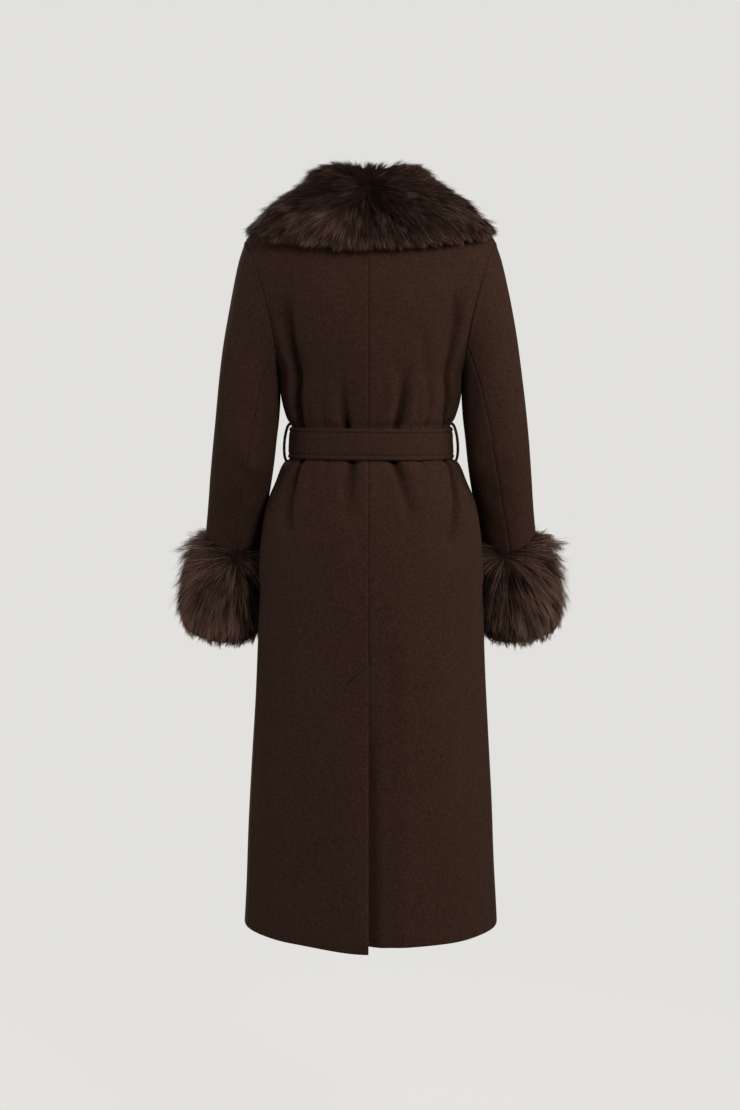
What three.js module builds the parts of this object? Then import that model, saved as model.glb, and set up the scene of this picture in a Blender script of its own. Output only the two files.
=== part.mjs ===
// Long wool coat with a fur shawl collar, fur cuffs and a tie belt.
// It keeps its worn, hollow shape with no wearer in it: neck, cuffs and hem are open.
// Millimetres, +Z up. The coat's front looks along -Y and the wearer's left is +X.
// The origin lies between the neck ends of the shoulder seams, where the wearer holds it up.

import * as THREE from 'three';

const { Vector3 } = THREE;

// Driving sizes
const CLOTH = 3;
const SEAM = 0.3;
const HEM = -1160;
const SHOULDER_TIP = -60;
const SEAM_X = 4;
const BACK_COLUMNS = 18;
const FRONT_COLUMNS = 14;

// Girths of the coat from the neck down: half width, depth to the back and to the front,
// how square the section is, and how far the side seam is turned towards the back (degrees).
const BODY = rows('z side back front square seamTurn', [
  [0, 75, 60, 54, 2.0, 0],
  [-20, 121, 70, 64, 2.0, 0],
  [-40, 164, 79, 73, 2.0, 0],
  [-60, 197, 86, 82, 2.0, 0],
  [-100, 205, 98, 99, 2.0, 0],
  [-164, 202, 106, 118, 2.05, 0],
  [-220, 170, 105, 124, 2.1, 0],
  [-268, 147, 100, 119, 2.15, 0],
  [-305, 143, 96, 109, 2.2, 2],
  [-342, 132.6, 91.5, 100, 2.2, 5],
  [-352, 126, 88, 95.5, 2.2, 5],
  [-405, 128.6, 89.5, 96.5, 2.2, 7],
  [-411, 138.5, 95, 100, 2.2, 8],
  [-440, 151.6, 105, 106, 2.2, 9],
  [-472, 163.6, 113, 111, 2.2, 10],
  [-560, 175.5, 124, 116, 2.2, 13],
  [-700, 182, 130, 122, 2.2, 15],
  [-904, 193, 146, 138, 2.08, 16],
  [-1160, 206, 166, 158, 1.95, 17],
]);

// Heights of the grid rows of the body, below the armhole.
const LOWER_ROWS = [
  -285, -305, -330, -342, -352, -378, -405, -411, -440, -472, -510, -560, -620, -680,
  -722, -752, -800, -860, -930, -1000, -1080, HEM,
];

// Soft folds of the body. Turn is the angle round the coat from the centre back,
// positive to the wearer's left. Depth is positive for a ridge, wide is in degrees.
const FOLD_ENDS = { rise: 0.3, fall: 0.08, clear: 8 };
const FOLDS = rows('top bottom topTurn bottomTurn depth wide', [
  [-130, -352, 37, 57, -7, 4.5],
  [-150, -352, 47, 67, 4, 5],
  [-220, -352, 8, 12, -2.5, 4],
  [-230, -352, -13, -20, -2.5, 4],
  [-120, -352, -36, -59, -7, 4.5],
  [-160, -352, -46, -69, 4, 5],
  [-180, -336, -21, -43, -3, 4],
  [-120, -352, 128, 132, -5, 6],
  [-120, -352, -130, -134, -5, 6],
  [-409, -520, 61, 48, -5, 5],
  [-409, -500, 16, 9, -3, 4],
  [-409, -490, -18, -21, -3, 4],
  [-409, -540, -66, -42, -5, 5],
  [-409, -560, 120, 128, -4, 6],
  [-409, -560, -122, -130, -4, 6],
  [-560, -1160, 34, 40, 3, 11],
  [-640, -1160, -32, -42, 3.5, 11],
  [-600, -1160, 138, 130, 4, 11],
  [-600, -1160, -140, -132, 4, 11],
]);

// The armhole: a leaning oval with a hollowed back and front edge.
const ARMHOLE = { x: 172, z: -164, lean: 25, rise: 104, deep: 62, hollow: 10 };
const ARMHOLE_STEPS = 20;
const UNDERARM = ARMHOLE.z - ARMHOLE.rise;
const ARMHOLE_GAP = 0.4;

// Sleeve rings from armhole to wrist: the outermost and innermost point, how far forward
// the middle lies, half the depth, the tilt of the ring and the turn of the sleeve seams.
const SLEEVE = rows('outX outZ inX inZ fore deep tilt seam', [
  [197, -60, 147, -268, 0, 62, 0, 126],
  [208, -92, 146, -277, 0, 61, 0, 123],
  [217, -131, 144.8, -289, 0, 59, 0, 120],
  [226, -178, 144.4, -308, 2, 56, 0, 116],
  [234, -226, 146, -336, 5, 54, 0, 111],
  [242, -288, 150.5, -374, 7, 52, 0, 106],
  [250, -362, 155.5, -418, 4, 51, 3, 101],
  [256, -420, 160, -446, -10, 50, 7, 97],
  [261.5, -474, 168, -488, -28, 47, 11, 94],
  [266, -524, 177, -529, -42, 44, 14, 91],
  [268, -560, 186, -564, -52, 42, 15, 90],
  [270, -604, 193, -608, -64, 42, 15, 90],
  [271.5, -648, 194, -652, -76, 42, 15, 90],
  [273, -690, 195, -694, -88, 42, 15, 90],
]);
const UPPER_SEGMENTS = 14;
const UNDER_SEGMENTS = 6;

// Fur cuffs, from the ring below the elbow to just past the sleeve end: fur height on the
// outer side, on the inner side and front to back. The fur hangs past the last ring.
const CUFF_FROM = 9;
const CUFF_END = new Vector3(0, -3, -13);
const CUFF = rows('out in deep', [
  [13, 8, 14],
  [36, 17, 27],
  [43, 20, 31],
  [41, 20, 30],
  [22, 13, 18],
]);

// Fur collar on the back and shoulders, from the centre back to the front neck. The leaf lies
// on the coat from the inner to the outer line. Rise is the stand at the neck, loft and lip are
// fur heights at the middle and at the outer edge, reach is how far the fur passes that edge.
const COLLAR = rows('inTurn inZ outTurn outZ rise loft lip reach', [
  [0, 0, 0, -74, 57, 42, 26, 4],
  [25, 0, 25, -70, 60, 42, 25, 4],
  [50, 0, 47, -62, 58, 40, 22, 5],
  [72, 0, 68, -56, 53, 35, 17, 5],
  [90, 0, 88, -50, 50, 31, 13, 6],
  [112, -3, 108, -53, 46, 31, 14, 6],
  [140, -16, 124, -84, 42, 31, 15, 5],
  [158, -44, 133, -120, 32, 29, 15, 4],
  [168, -84, 139, -154, 24, 27, 15, 4],
  [174, -134, 144, -187, 18, 25, 14, 4],
]);

// The wearer's right lapel runs on down to the break of the roll line at the belt.
const LAPEL_OVER = rows('inTurn inZ outTurn outZ rise loft lip reach', [
  [179.5, -184, 150, -218, 14, 23, 13, 3],
  [187, -234, 158, -250, 11, 21, 12, 3],
  [195, -280, 171, -282, 9, 18, 10, 2],
  [202, -318, 190, -312, 7, 13, 8, 1],
  [205, -336, 201, -334, 5, 8, 6, 1],
]);

// The wearer's left lapel ends where it passes under the other one.
const LAPEL_UNDER = rows('inTurn inZ outTurn outZ rise loft lip reach', [
  [175.6, -184, 150, -214, 12, 22, 12, 3],
  [170.5, -232, 157, -246, 8, 17, 10, 3],
  [165, -270, 162, -272, 4, 7, 5, 1],
]);
const COLLAR_ACROSS = 6;
const COLLAR_STEPS = 3;
const LEAF_LIFT = 2.4;
const NECK_LIFT = 0.6;
// Shares of the way across the leaf over which the stand, the loft and the lip change.
const LEAF = { stand: 2.5, settled: 0.35, loftFrom: -0.3, loftFull: 0.55, lipFrom: 0.5, reachFrom: 0.6 };

// Front edges: the roll line falls from the neck to the break, then the edge hangs straight.
const ROLL = { neckX: 72, breakX: 55, breakZ: -330 };
const LAP = { inset: CLOTH + 0.8, from: 98, full: 74, top: -70, topFull: -120 };

// Back vent: the wearer's left panel laps over the right one. It stands out and hangs lower
// towards the centre, over the width called spread. The right one is inset beneath it, and
// its hem is raised a little there.
const VENT = {
  top: -722, slope: -752, under: 45, inset: CLOTH + 0.8, flare: 14, drop: 5, raise: 2, spread: 130,
  insetFrom: 60, insetFull: 28, insetAbove: 42,
};

// Tie belt, its knot, its ends and its loops. The knot is told in sections along x.
const BELT = { top: -355, bottom: -403.8, lift: 0.6, cloth: 3.7 };
const KNOT = { half: 29, z: -379, back: 97.8 };
const KNOT_SECTIONS = rows('x high deep', [
  [-29, 19, 12],
  [-22, 24, 22],
  [-13, 26.5, 30],
  [0, 27, 32],
  [13, 26.5, 30],
  [22, 24, 22],
  [29, 19, 12],
]);
const KNOT_ROUND = { across: 8, deep: 0.6, high: 0.8, inner: 0.98 };
const TAIL = { top: -406.6, wide: 50, cloth: 4, columns: 4, lift: 0.9, below: 1 };
const LOOP = {
  wideTurn: 4.6, cloth: 3.8, turn: 87, top: -350.5, bottom: -408, gap: 1, bow: 6.6, full: 0.3, steps: 14,
};

const MATERIALS = {
  wool: ['#2e211b', 0.95],
  fur: ['#3b2a22', 0.9],
  thread: ['#241915', 0.8],
};

// A short table with named columns becomes a list of plain records.
function rows(columns, lines) {
  const names = columns.split(' ');
  return lines.map((line) => Object.fromEntries(names.map((name, i) => [name, line[i]])));
}

function radians(degrees) {
  return THREE.MathUtils.degToRad(degrees);
}

function power(value, exponent) {
  return Math.sign(value) * Math.abs(value) ** exponent;
}

function fade(value, from, to) {
  const share = THREE.MathUtils.clamp((value - from) / (to - from), 0, 1);
  return share * share * (3 - 2 * share);
}

// Smooth value of one column at a place given by another column, with no overshoot.
function read(table, column, place, by = 'z') {
  const way = Math.sign(table[1][by] - table[0][by]);
  const last = table.length - 2;
  let i = table.findIndex((row, k) => k <= last && way * (place - table[k + 1][by]) <= 0);
  if (i < 0) i = last;
  const slope = (k) => (table[k + 1][column] - table[k][column]) / (table[k + 1][by] - table[k][by]);
  const tangent = (k) => {
    if (k === 0) return slope(0);
    if (k === table.length - 1) return slope(k - 1);
    const before = slope(k - 1);
    const after = slope(k);
    return before * after <= 0 ? 0 : (2 * before * after) / (before + after);
  };
  const step = table[i + 1][by] - table[i][by];
  const t = THREE.MathUtils.clamp((place - table[i][by]) / step, 0, 1);
  const rise = t * t * (3 - 2 * t);
  return table[i][column] * (1 - rise) + table[i + 1][column] * rise
    + step * (tangent(i) * t * (1 - t) ** 2 - tangent(i + 1) * t * t * (1 - t));
}

function armhole(turn) {
  const c = Math.cos(turn);
  const s = Math.sin(turn);
  return new Vector3(
    ARMHOLE.x + ARMHOLE.lean * c - ARMHOLE.hollow * s * s,
    ARMHOLE.deep * s,
    ARMHOLE.z + ARMHOLE.rise * c,
  );
}

// One half of a girth, back or front: its sizes and the angle, from the side, of its edge.
function girth(z, face) {
  const depth = read(BODY, face > 0 ? 'back' : 'front', z);
  const bend = 2 / read(BODY, 'square', z);
  if (z >= SHOULDER_TIP || z <= UNDERARM) {
    return { side: read(BODY, 'side', z), depth, bend, edge: 0 };
  }
  const point = armhole(Math.acos((z - ARMHOLE.z) / ARMHOLE.rise));
  const edge = Math.asin(power(point.y / depth, 1 / bend));
  return { side: point.x / Math.cos(edge) ** bend, depth, bend, edge: THREE.MathUtils.radToDeg(edge) };
}

// Point of the plain body at a height and a turn from the centre back.
function onGirth(z, turn) {
  const c = Math.cos(radians(turn));
  const s = Math.sin(radians(turn));
  const { side, depth, bend } = girth(z, c >= -1e-9 ? 1 : -1);
  return new Vector3(side * power(s, bend), depth * power(c, bend), z);
}

// Turn at which the body passes a given x, on its back or its front.
function turnAt(z, x, face) {
  const { side, bend } = girth(z, face);
  const turn = THREE.MathUtils.radToDeg(Math.asin(power(x / side, 1 / bend)));
  return face > 0 ? turn : 180 - turn;
}

function foldAt(z, turn) {
  const face = Math.abs(turn) < 90 ? 1 : -1;
  const fromArmhole = face * (edgeTurn(z, face) - Math.abs(turn));
  const clear = z > UNDERARM ? fade(fromArmhole, 0, FOLD_ENDS.clear) : 1;
  return clear * FOLDS.reduce((sum, fold) => {
    if (z > fold.top || z < fold.bottom) return sum;
    const down = (fold.top - z) / (fold.top - fold.bottom);
    const ends = fade(down, 0, FOLD_ENDS.rise) * (fold.bottom > HEM ? fade(down, 1, 1 - FOLD_ENDS.fall) : 1);
    const middle = fold.topTurn + (fold.bottomTurn - fold.topTurn) * down;
    const off = (turn - middle) / fold.wide;
    return sum + fold.depth * ends * Math.exp(-off * off);
  }, 0);
}

// Point of the coat's surface, with its folds, moved out or in along the girth's normal.
function onBody(z, turn, out = 0) {
  const point = onGirth(z, turn);
  const ahead = onGirth(z, turn + 0.5).sub(onGirth(z, turn - 0.5));
  const normal = new Vector3(ahead.y, -ahead.x, 0).normalize().negate();
  return point.addScaledVector(normal, foldAt(z, turn) + out);
}

function sideTurn(z) {
  return z > UNDERARM ? 0 : read(BODY, 'seamTurn', z);
}

// Turn of a panel's outer edge: shoulder seam, armhole, then side seam.
function edgeTurn(z, face) {
  if (z < SHOULDER_TIP && z > UNDERARM) {
    const { edge } = girth(z, face);
    return face > 0 ? 90 - edge : 90 + edge;
  }
  return 90 - sideTurn(z);
}

function rollX(z) {
  if (z <= ROLL.breakZ) return -ROLL.breakX;
  return ROLL.neckX - (ROLL.neckX + ROLL.breakX) * (z / ROLL.breakZ);
}

function rowHeights() {
  const heights = [0, -20, -40];
  for (let step = 0; step <= ARMHOLE_STEPS / 2; step += 1) {
    heights.push(armhole((step * 2 * Math.PI) / ARMHOLE_STEPS).z);
  }
  return [...heights, ...LOWER_ROWS];
}

const HEIGHTS = rowHeights();
const TIP_ROW = 3;
const UNDERARM_ROW = TIP_ROW + ARMHOLE_STEPS / 2;

function spread(from, to, count) {
  return Array.from({ length: count + 1 }, (_, i) => from + ((to - from) * i) / count);
}

// The four panels as lists of rows of points, each row from its lower to its higher turn.
function backRow(z, left) {
  const middle = turnAt(z, SEAM_X, 1);
  if (left) {
    return spread(middle, edgeTurn(z, 1), BACK_COLUMNS).map((turn) => ventLeft(z, turn));
  }
  const under = fade(z, VENT.top, VENT.slope) > 0 ? SEAM_X + VENT.under : SEAM_X;
  return spread(-edgeTurn(z, 1), turnAt(z, under, 1), BACK_COLUMNS).map((turn) => ventRight(z, turn));
}

function ventLeft(z, turn) {
  const point = onBody(z, turn);
  const down = fade(z, VENT.top, HEM);
  const near = fade(point.x, SEAM_X + VENT.spread, SEAM_X);
  point.y += VENT.flare * down * down * near;
  point.z -= VENT.drop * down * down * near;
  return point;
}

function ventRight(z, turn) {
  const x = onGirth(z, turn).x;
  const inset = VENT.inset * fade(z, VENT.top + VENT.insetAbove, VENT.top)
    * fade(x, SEAM_X - VENT.insetFrom, SEAM_X - VENT.insetFull);
  const point = onBody(z, turn, -inset);
  point.z += VENT.raise * fade(z, VENT.top, HEM) ** 2 * fade(x, SEAM_X - VENT.spread, SEAM_X);
  return point;
}

function frontRow(z, left) {
  const edge = turnAt(z, rollX(z), -1);
  if (!left) {
    return spread(-edge, -edgeTurn(z, -1), FRONT_COLUMNS).map((turn) => onBody(z, turn));
  }
  return spread(edgeTurn(z, -1), edge, FRONT_COLUMNS).map((turn) => {
    const x = onGirth(z, turn).x;
    const inset = LAP.inset * fade(x, LAP.from, LAP.full) * fade(z, LAP.top, LAP.topFull);
    return onBody(z, turn, -inset);
  });
}

const PANELS = {
  back_left: HEIGHTS.map((z) => backRow(z, true)),
  back_right: HEIGHTS.map((z) => backRow(z, false)),
  front_left: HEIGHTS.map((z) => frontRow(z, true)),
  front_right: HEIGHTS.map((z) => frontRow(z, false)),
};

// Unit normals of several grids that share edge points, keyed by place.
function spot(point) {
  return point.toArray().map((value) => Math.round(value * 500) || 0).join(' ');
}

function normalsOf(grids, sign) {
  const sums = new Map();
  grids.forEach((grid) => grid.slice(1).forEach((row, i) => row.slice(1).forEach((corner, j) => {
    const quad = [grid[i][j], grid[i + 1][j], corner, grid[i][j + 1]];
    const face = quad[2].clone().sub(quad[0]).cross(quad[1].clone().sub(quad[3])).multiplyScalar(sign);
    quad.forEach((point) => {
      const key = spot(point);
      if (!sums.has(key)) sums.set(key, new Vector3());
      sums.get(key).add(face);
    });
  })));
  sums.forEach((sum) => sum.normalize());
  return (point) => sums.get(spot(point));
}

// Closed skin round an outer and an inner grid of points: two faces and their rims.
function skin(outer, inner, round = false) {
  const count = outer.length;
  const columns = outer[0].length;
  const points = [...outer.flat(), ...inner.flat()];
  const at = (i, j, side) => side * count * columns + i * columns + (j % columns);
  const faces = [];
  const quad = (a, b, c, d) => faces.push(a, b, c, a, c, d);
  const last = round ? columns : columns - 1;
  for (let i = 0; i < count - 1; i += 1) {
    for (let j = 0; j < last; j += 1) {
      quad(at(i, j, 0), at(i + 1, j, 0), at(i + 1, j + 1, 0), at(i, j + 1, 0));
      quad(at(i, j, 1), at(i, j + 1, 1), at(i + 1, j + 1, 1), at(i + 1, j, 1));
    }
    if (!round) {
      quad(at(i, 0, 0), at(i, 0, 1), at(i + 1, 0, 1), at(i + 1, 0, 0));
      quad(at(i, last, 0), at(i + 1, last, 0), at(i + 1, last, 1), at(i, last, 1));
    }
  }
  const end = count - 1;
  for (let j = 0; j < last; j += 1) {
    quad(at(0, j, 0), at(0, j + 1, 0), at(0, j + 1, 1), at(0, j, 1));
    quad(at(end, j, 0), at(end, j, 1), at(end, j + 1, 1), at(end, j + 1, 0));
  }
  return { points, faces };
}

function mesh(name, material, { points, faces }) {
  const volume = faces.reduce((sum, _, i) => (i % 3 ? sum : sum
    + points[faces[i]].dot(points[faces[i + 1]].clone().cross(points[faces[i + 2]]))), 0);
  const geometry = new THREE.BufferGeometry();
  geometry.setAttribute('position', new THREE.Float32BufferAttribute(points.flatMap((p) => p.toArray()), 3));
  geometry.setIndex(volume > 0 ? faces : faces.toReversed());
  geometry.computeVertexNormals();
  const [color, roughness] = MATERIALS[material];
  const piece = new THREE.Mesh(geometry, new THREE.MeshStandardMaterial({ color, roughness, metalness: 0 }));
  piece.name = name;
  return piece;
}

// Moves one edge of a panel's two grids back from the seam by half the seam gap.
function trimEdge(outer, inner, column, next, from = 0, to = outer.length - 1) {
  for (let i = from; i <= to; i += 1) {
    const shift = outer[i][next].clone().sub(outer[i][column]).setLength(SEAM / 2);
    outer[i][column].add(shift);
    inner[i][column].add(shift);
  }
}

function copyGrid(grid) {
  return grid.map((row) => row.map((point) => point.clone()));
}

function mirrored(point) {
  return new Vector3(-point.x, point.y, point.z);
}

function mirrorGrid(grid) {
  return grid.map((row) => row.map(mirrored));
}

// Sleeve rings on the wearer's left.
function sleevePoint(ring, turn) {
  const outer = new Vector3(ring.outX, 0, ring.outZ);
  const inner = new Vector3(ring.inX, 0, ring.inZ);
  const tilt = radians(ring.tilt);
  const hollow = ARMHOLE.hollow * fade(SLEEVE.indexOf(ring), 4, 0) * Math.sin(turn) ** 2;
  return outer.clone().add(inner).multiplyScalar(0.5)
    .addScaledVector(outer.clone().sub(inner), 0.5 * Math.cos(turn))
    .addScaledVector(new Vector3(0, Math.cos(tilt), -Math.sin(tilt)), ring.deep * Math.sin(turn))
    .add(new Vector3(-hollow, ring.fore, 0));
}

function sleeveTurns(ring, part) {
  const turns = part === 'upper'
    ? spread(-ring.seam, ring.seam, UPPER_SEGMENTS)
    : spread(ring.seam, 360 - ring.seam, UNDER_SEGMENTS);
  return turns.map(radians);
}

const SLEEVE_GRIDS = {
  upper: SLEEVE.map((ring) => sleeveTurns(ring, 'upper').map((turn) => sleevePoint(ring, turn))),
  under: SLEEVE.map((ring) => sleeveTurns(ring, 'under').map((turn) => sleevePoint(ring, turn))),
};
const bodyNormal = normalsOf(Object.values(PANELS), 1);
const sleeveNormal = normalsOf(Object.values(SLEEVE_GRIDS), -1);

// Where a sleeve meets the body. Cloth that bends inwards there meets on a mitre,
// and cloth that folds back keeps each wall's own direction.
function armholeRim(point, onward) {
  const body = bodyNormal(point);
  const sleeve = sleeveNormal(point);
  const leave = onward.clone().sub(point).normalize();
  const gap = leave.clone().add(body).setLength(ARMHOLE_GAP);
  if (body.dot(leave) >= 0) {
    return { gap, body: body.clone().multiplyScalar(CLOTH), sleeve: sleeve.clone().multiplyScalar(CLOTH) };
  }
  const middle = body.clone().add(sleeve).normalize();
  const depth = CLOTH / Math.max(0.75, middle.dot(body));
  const rim = middle.multiplyScalar(depth);
  return { gap, body: rim, sleeve: rim };
}

function rimAt(point) {
  for (const grid of Object.values(SLEEVE_GRIDS)) {
    const column = grid[0].findIndex((other) => spot(other) === spot(point));
    if (column >= 0) return armholeRim(point, grid[1][column]);
  }
  return null;
}

// A body panel: its wall, seams trimmed, with its armhole edge mitred to the sleeve.
function panel(name, { armholeColumn, left, middleSeam }) {
  const outer = copyGrid(PANELS[name]);
  const inner = PANELS[name].map((row) => row.map((point) => (
    point.clone().addScaledVector(bodyNormal(point), -CLOTH))));
  const last = outer[0].length - 1;
  const edge = armholeColumn === 'last' ? last : 0;
  for (let i = TIP_ROW; i <= UNDERARM_ROW; i += 1) {
    const point = PANELS[name][i][edge];
    const rim = rimAt(left ? point : mirrored(point));
    if (rim) inner[i][edge] = point.clone().sub(left ? rim.body : mirrored(rim.body));
  }
  const next = edge === 0 ? 1 : last - 1;
  trimEdge(outer, inner, edge, next, 0, TIP_ROW);
  trimEdge(outer, inner, edge, next, UNDERARM_ROW);
  if (middleSeam) {
    const middle = last - edge;
    trimEdge(outer, inner, middle, middle === 0 ? 1 : last - 1);
  }
  return mesh(name, 'wool', skin(outer, inner));
}

function sleeve(name, part, left) {
  const grid = SLEEVE_GRIDS[part];
  const outer = copyGrid(grid);
  const inner = grid.map((row) => row.map((point) => (
    point.clone().addScaledVector(sleeveNormal(point), -CLOTH))));
  grid[0].forEach((point, j) => {
    const rim = armholeRim(point, grid[1][j]);
    outer[0][j].add(rim.gap);
    inner[0][j] = outer[0][j].clone().sub(rim.sleeve);
  });
  const last = grid[0].length - 1;
  trimEdge(outer, inner, 0, 1);
  trimEdge(outer, inner, last, last - 1);
  return mesh(name, 'wool', left ? skin(outer, inner) : skin(mirrorGrid(outer), mirrorGrid(inner)));
}

// Fur cuff: a thick ring round the sleeve end, made from the sleeve's own points.
function cuff(name, left) {
  const rings = SLEEVE.slice(CUFF_FROM);
  const grids = rings.map((ring) => [
    ...sleeveTurns(ring, 'upper').slice(0, -1),
    ...sleeveTurns(ring, 'under').slice(0, -1),
  ].map((turn) => ({ turn, point: sleevePoint(ring, turn) })));
  const inner = grids.map((row) => row.map(({ point }) => (
    point.clone().addScaledVector(sleeveNormal(point), SEAM))));
  const outer = grids.map((row, i) => row.map(({ turn, point }) => {
    const c = Math.cos(turn);
    const side = c > 0 ? CUFF[i].out : CUFF[i].in;
    const fur = CUFF[i].deep + (side - CUFF[i].deep) * Math.abs(c);
    return point.clone().addScaledVector(sleeveNormal(point), fur);
  }));
  const last = rings.length - 1;
  outer[last].forEach((point) => point.add(CUFF_END));
  return left
    ? mesh(name, 'fur', skin(outer, inner, true))
    : mesh(name, 'fur', skin(mirrorGrid(outer), mirrorGrid(inner), true));
}

// Fur collar: one sweep from the end of the right lapel round the neck to the left one.
function collarStations(lapel) {
  const table = [...COLLAR, ...lapel].map((row, place) => ({ ...row, place }));
  const columns = Object.keys(COLLAR[0]);
  return spread(0, table.length - 1, (table.length - 1) * COLLAR_STEPS).map((place) => (
    Object.fromEntries(columns.map((column) => [column, read(table, column, place, 'place')]))));
}

function collarSection(station, side) {
  const across = spread(0, 1, COLLAR_ACROSS);
  const leaf = across.map((u) => {
    const z = station.inZ + (station.outZ - station.inZ) * u;
    const turn = station.inTurn + (station.outTurn - station.inTurn) * u;
    return { z, turn: turn * side };
  });
  const normalAt = ({ z, turn }) => {
    const du = onBody(z, turn + 1).sub(onBody(z, turn - 1));
    const dv = onBody(z - 2, turn).sub(onBody(z + 2, turn));
    return dv.cross(du).normalize().negate();
  };
  const under = leaf.map((place, i) => {
    const lift = NECK_LIFT + (LEAF_LIFT - NECK_LIFT) * fade(across[i], 0, LEAF.settled);
    return onBody(place.z, place.turn).addScaledVector(normalAt(place), lift);
  });
  const outward = under[COLLAR_ACROSS].clone().sub(under[COLLAR_ACROSS - 1]).normalize();
  const over = leaf.map((place, i) => {
    const u = across[i];
    const stand = station.rise * (1 - u) ** LEAF.stand;
    const loft = station.loft * fade(u, LEAF.loftFrom, LEAF.loftFull)
      + (station.lip - station.loft) * fade(u, LEAF.lipFrom, 1);
    const fur = u === 0 ? 0 : loft;
    return under[i].clone()
      .addScaledVector(normalAt(place), fur)
      .addScaledVector(new Vector3(0, 0, 1), stand)
      .addScaledVector(outward, station.reach * fade(u, LEAF.reachFrom, 1));
  });
  return { under, over };
}

function collar() {
  const right = collarStations(LAPEL_OVER).map((station) => collarSection(station, -1)).reverse();
  const left = collarStations(LAPEL_UNDER).map((station) => collarSection(station, 1)).slice(1);
  const sections = [...right, ...left];
  return mesh('fur_collar', 'fur', skin(sections.map((s) => s.over), sections.map((s) => s.under)));
}

// Belt band: the body's own columns moved out, from one side of the knot round to the other.
function beltTurns(z) {
  const knotTurn = turnAt(z, KNOT.half + 0.5, -1);
  const right = [
    ...spread(-turnAt(z, -ROLL.breakX, -1), -edgeTurn(z, -1), FRONT_COLUMNS),
    ...spread(-edgeTurn(z, 1), turnAt(z, SEAM_X, 1), BACK_COLUMNS).slice(1),
  ];
  const left = [
    ...spread(turnAt(z, SEAM_X, 1), edgeTurn(z, 1), BACK_COLUMNS).slice(1),
    ...spread(edgeTurn(z, -1), turnAt(z, -ROLL.breakX, -1), FRONT_COLUMNS).slice(1),
  ];
  const inside = [...right, ...left].filter((turn) => Math.abs(turn) < knotTurn - 2);
  return [-knotTurn, ...inside, knotTurn];
}

function belt() {
  const turns = beltTurns((BELT.top + BELT.bottom) / 2);
  const heights = [BELT.top, BELT.bottom];
  const lay = (out) => heights.map((z) => turns.map((turn) => onBody(z, turn, out)));
  return mesh('belt_band', 'wool', skin(lay(BELT.lift + BELT.cloth), lay(BELT.lift)));
}

// Knot: a soft cushion of wrapped cloth, flat towards the coat.
function knot() {
  const across = spread(-90, 90, KNOT_ROUND.across).map(radians);
  const lay = (out, size) => KNOT_SECTIONS.map(({ x, high, deep }) => across.map((turn) => new Vector3(
    x,
    -KNOT.back - out * deep * power(Math.cos(turn), KNOT_ROUND.deep),
    KNOT.z + size * high * power(Math.sin(turn), KNOT_ROUND.high),
  )));
  return mesh('belt_knot', 'wool', skin(lay(1, 1), lay(0, KNOT_ROUND.inner)));
}

// Hanging belt ends, on the skirt's front: their middle line and how far they stand out.
function tail(name, stations) {
  const first = stations[0].z;
  const bottom = stations[stations.length - 1].z;
  const heights = [first, ...HEIGHTS.filter((z) => z < first - 3 && z > bottom + 5), bottom];
  const lay = (out) => heights.map((z) => spread(-0.5, 0.5, TAIL.columns).map((share) => {
    const x = read(stations, 'x', z) + share * TAIL.wide;
    return onBody(z, turnAt(z, x, -1), read(stations, 'lift', z) + out);
  }));
  return mesh(name, 'wool', skin(lay(TAIL.cloth), lay(0)));
}

// Belt loop: a thin strand that stands off the belt at the side seam. Its two ends
// follow the coat's surface, and each row in between leans with the bow.
function loop(name, side) {
  const steps = spread(0, 1, LOOP.steps);
  const strand = (share) => steps.map((t) => {
    const turn = LOOP.turn - share * LOOP.wideTurn;
    const point = onBody(LOOP.top, turn).lerp(onBody(LOOP.bottom, turn), t);
    point.x += LOOP.gap + LOOP.bow * Math.sin(Math.PI * t) ** LOOP.full;
    return point;
  });
  const lay = (out) => {
    const edges = [-0.5, 0.5].map((share) => strand(share).map((point, i, path) => {
      if (i > 0 && i < path.length - 1) {
        const way = path[i + 1].clone().sub(path[i - 1]);
        return point.clone().addScaledVector(new Vector3(-way.z, 0, way.x).normalize(), out);
      }
      const z = point.z + (i === 0 ? out : -out);
      return onBody(z, LOOP.turn - share * LOOP.wideTurn).add(new Vector3(LOOP.gap, 0, 0));
    }));
    return steps.map((_, i) => edges.map((edge) => new Vector3(edge[i].x * side, edge[i].y, edge[i].z)));
  };
  return mesh(name, 'thread', skin(lay(LOOP.cloth), lay(0)));
}

const coat = new THREE.Group();
coat.add(
  panel('back_left', { armholeColumn: 'last', left: true, middleSeam: true }),
  panel('back_right', { armholeColumn: 'first', left: false, middleSeam: true }),
  panel('front_left', { armholeColumn: 'first', left: true, middleSeam: false }),
  panel('front_right', { armholeColumn: 'last', left: false, middleSeam: false }),
  sleeve('sleeve_left_upper', 'upper', true),
  sleeve('sleeve_left_under', 'under', true),
  sleeve('sleeve_right_upper', 'upper', false),
  sleeve('sleeve_right_under', 'under', false),
  collar(),
  cuff('fur_cuff_left', true),
  cuff('fur_cuff_right', false),
  belt(),
  knot(),
  tail('belt_tail_left', rows('z x lift', [
    [TAIL.top, 4, TAIL.lift + TAIL.cloth + TAIL.below],
    [-560, 16, TAIL.lift + TAIL.cloth + TAIL.below],
    [-820, 30, TAIL.lift + TAIL.cloth + TAIL.below],
  ])),
  tail('belt_tail_right', rows('z x lift', [
    [TAIL.top, -4, TAIL.lift],
    [-560, -18, TAIL.lift],
    [-790, -34, TAIL.lift],
  ])),
  loop('belt_loop_left', 1),
  loop('belt_loop_right', -1),
);

export default coat;
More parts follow.
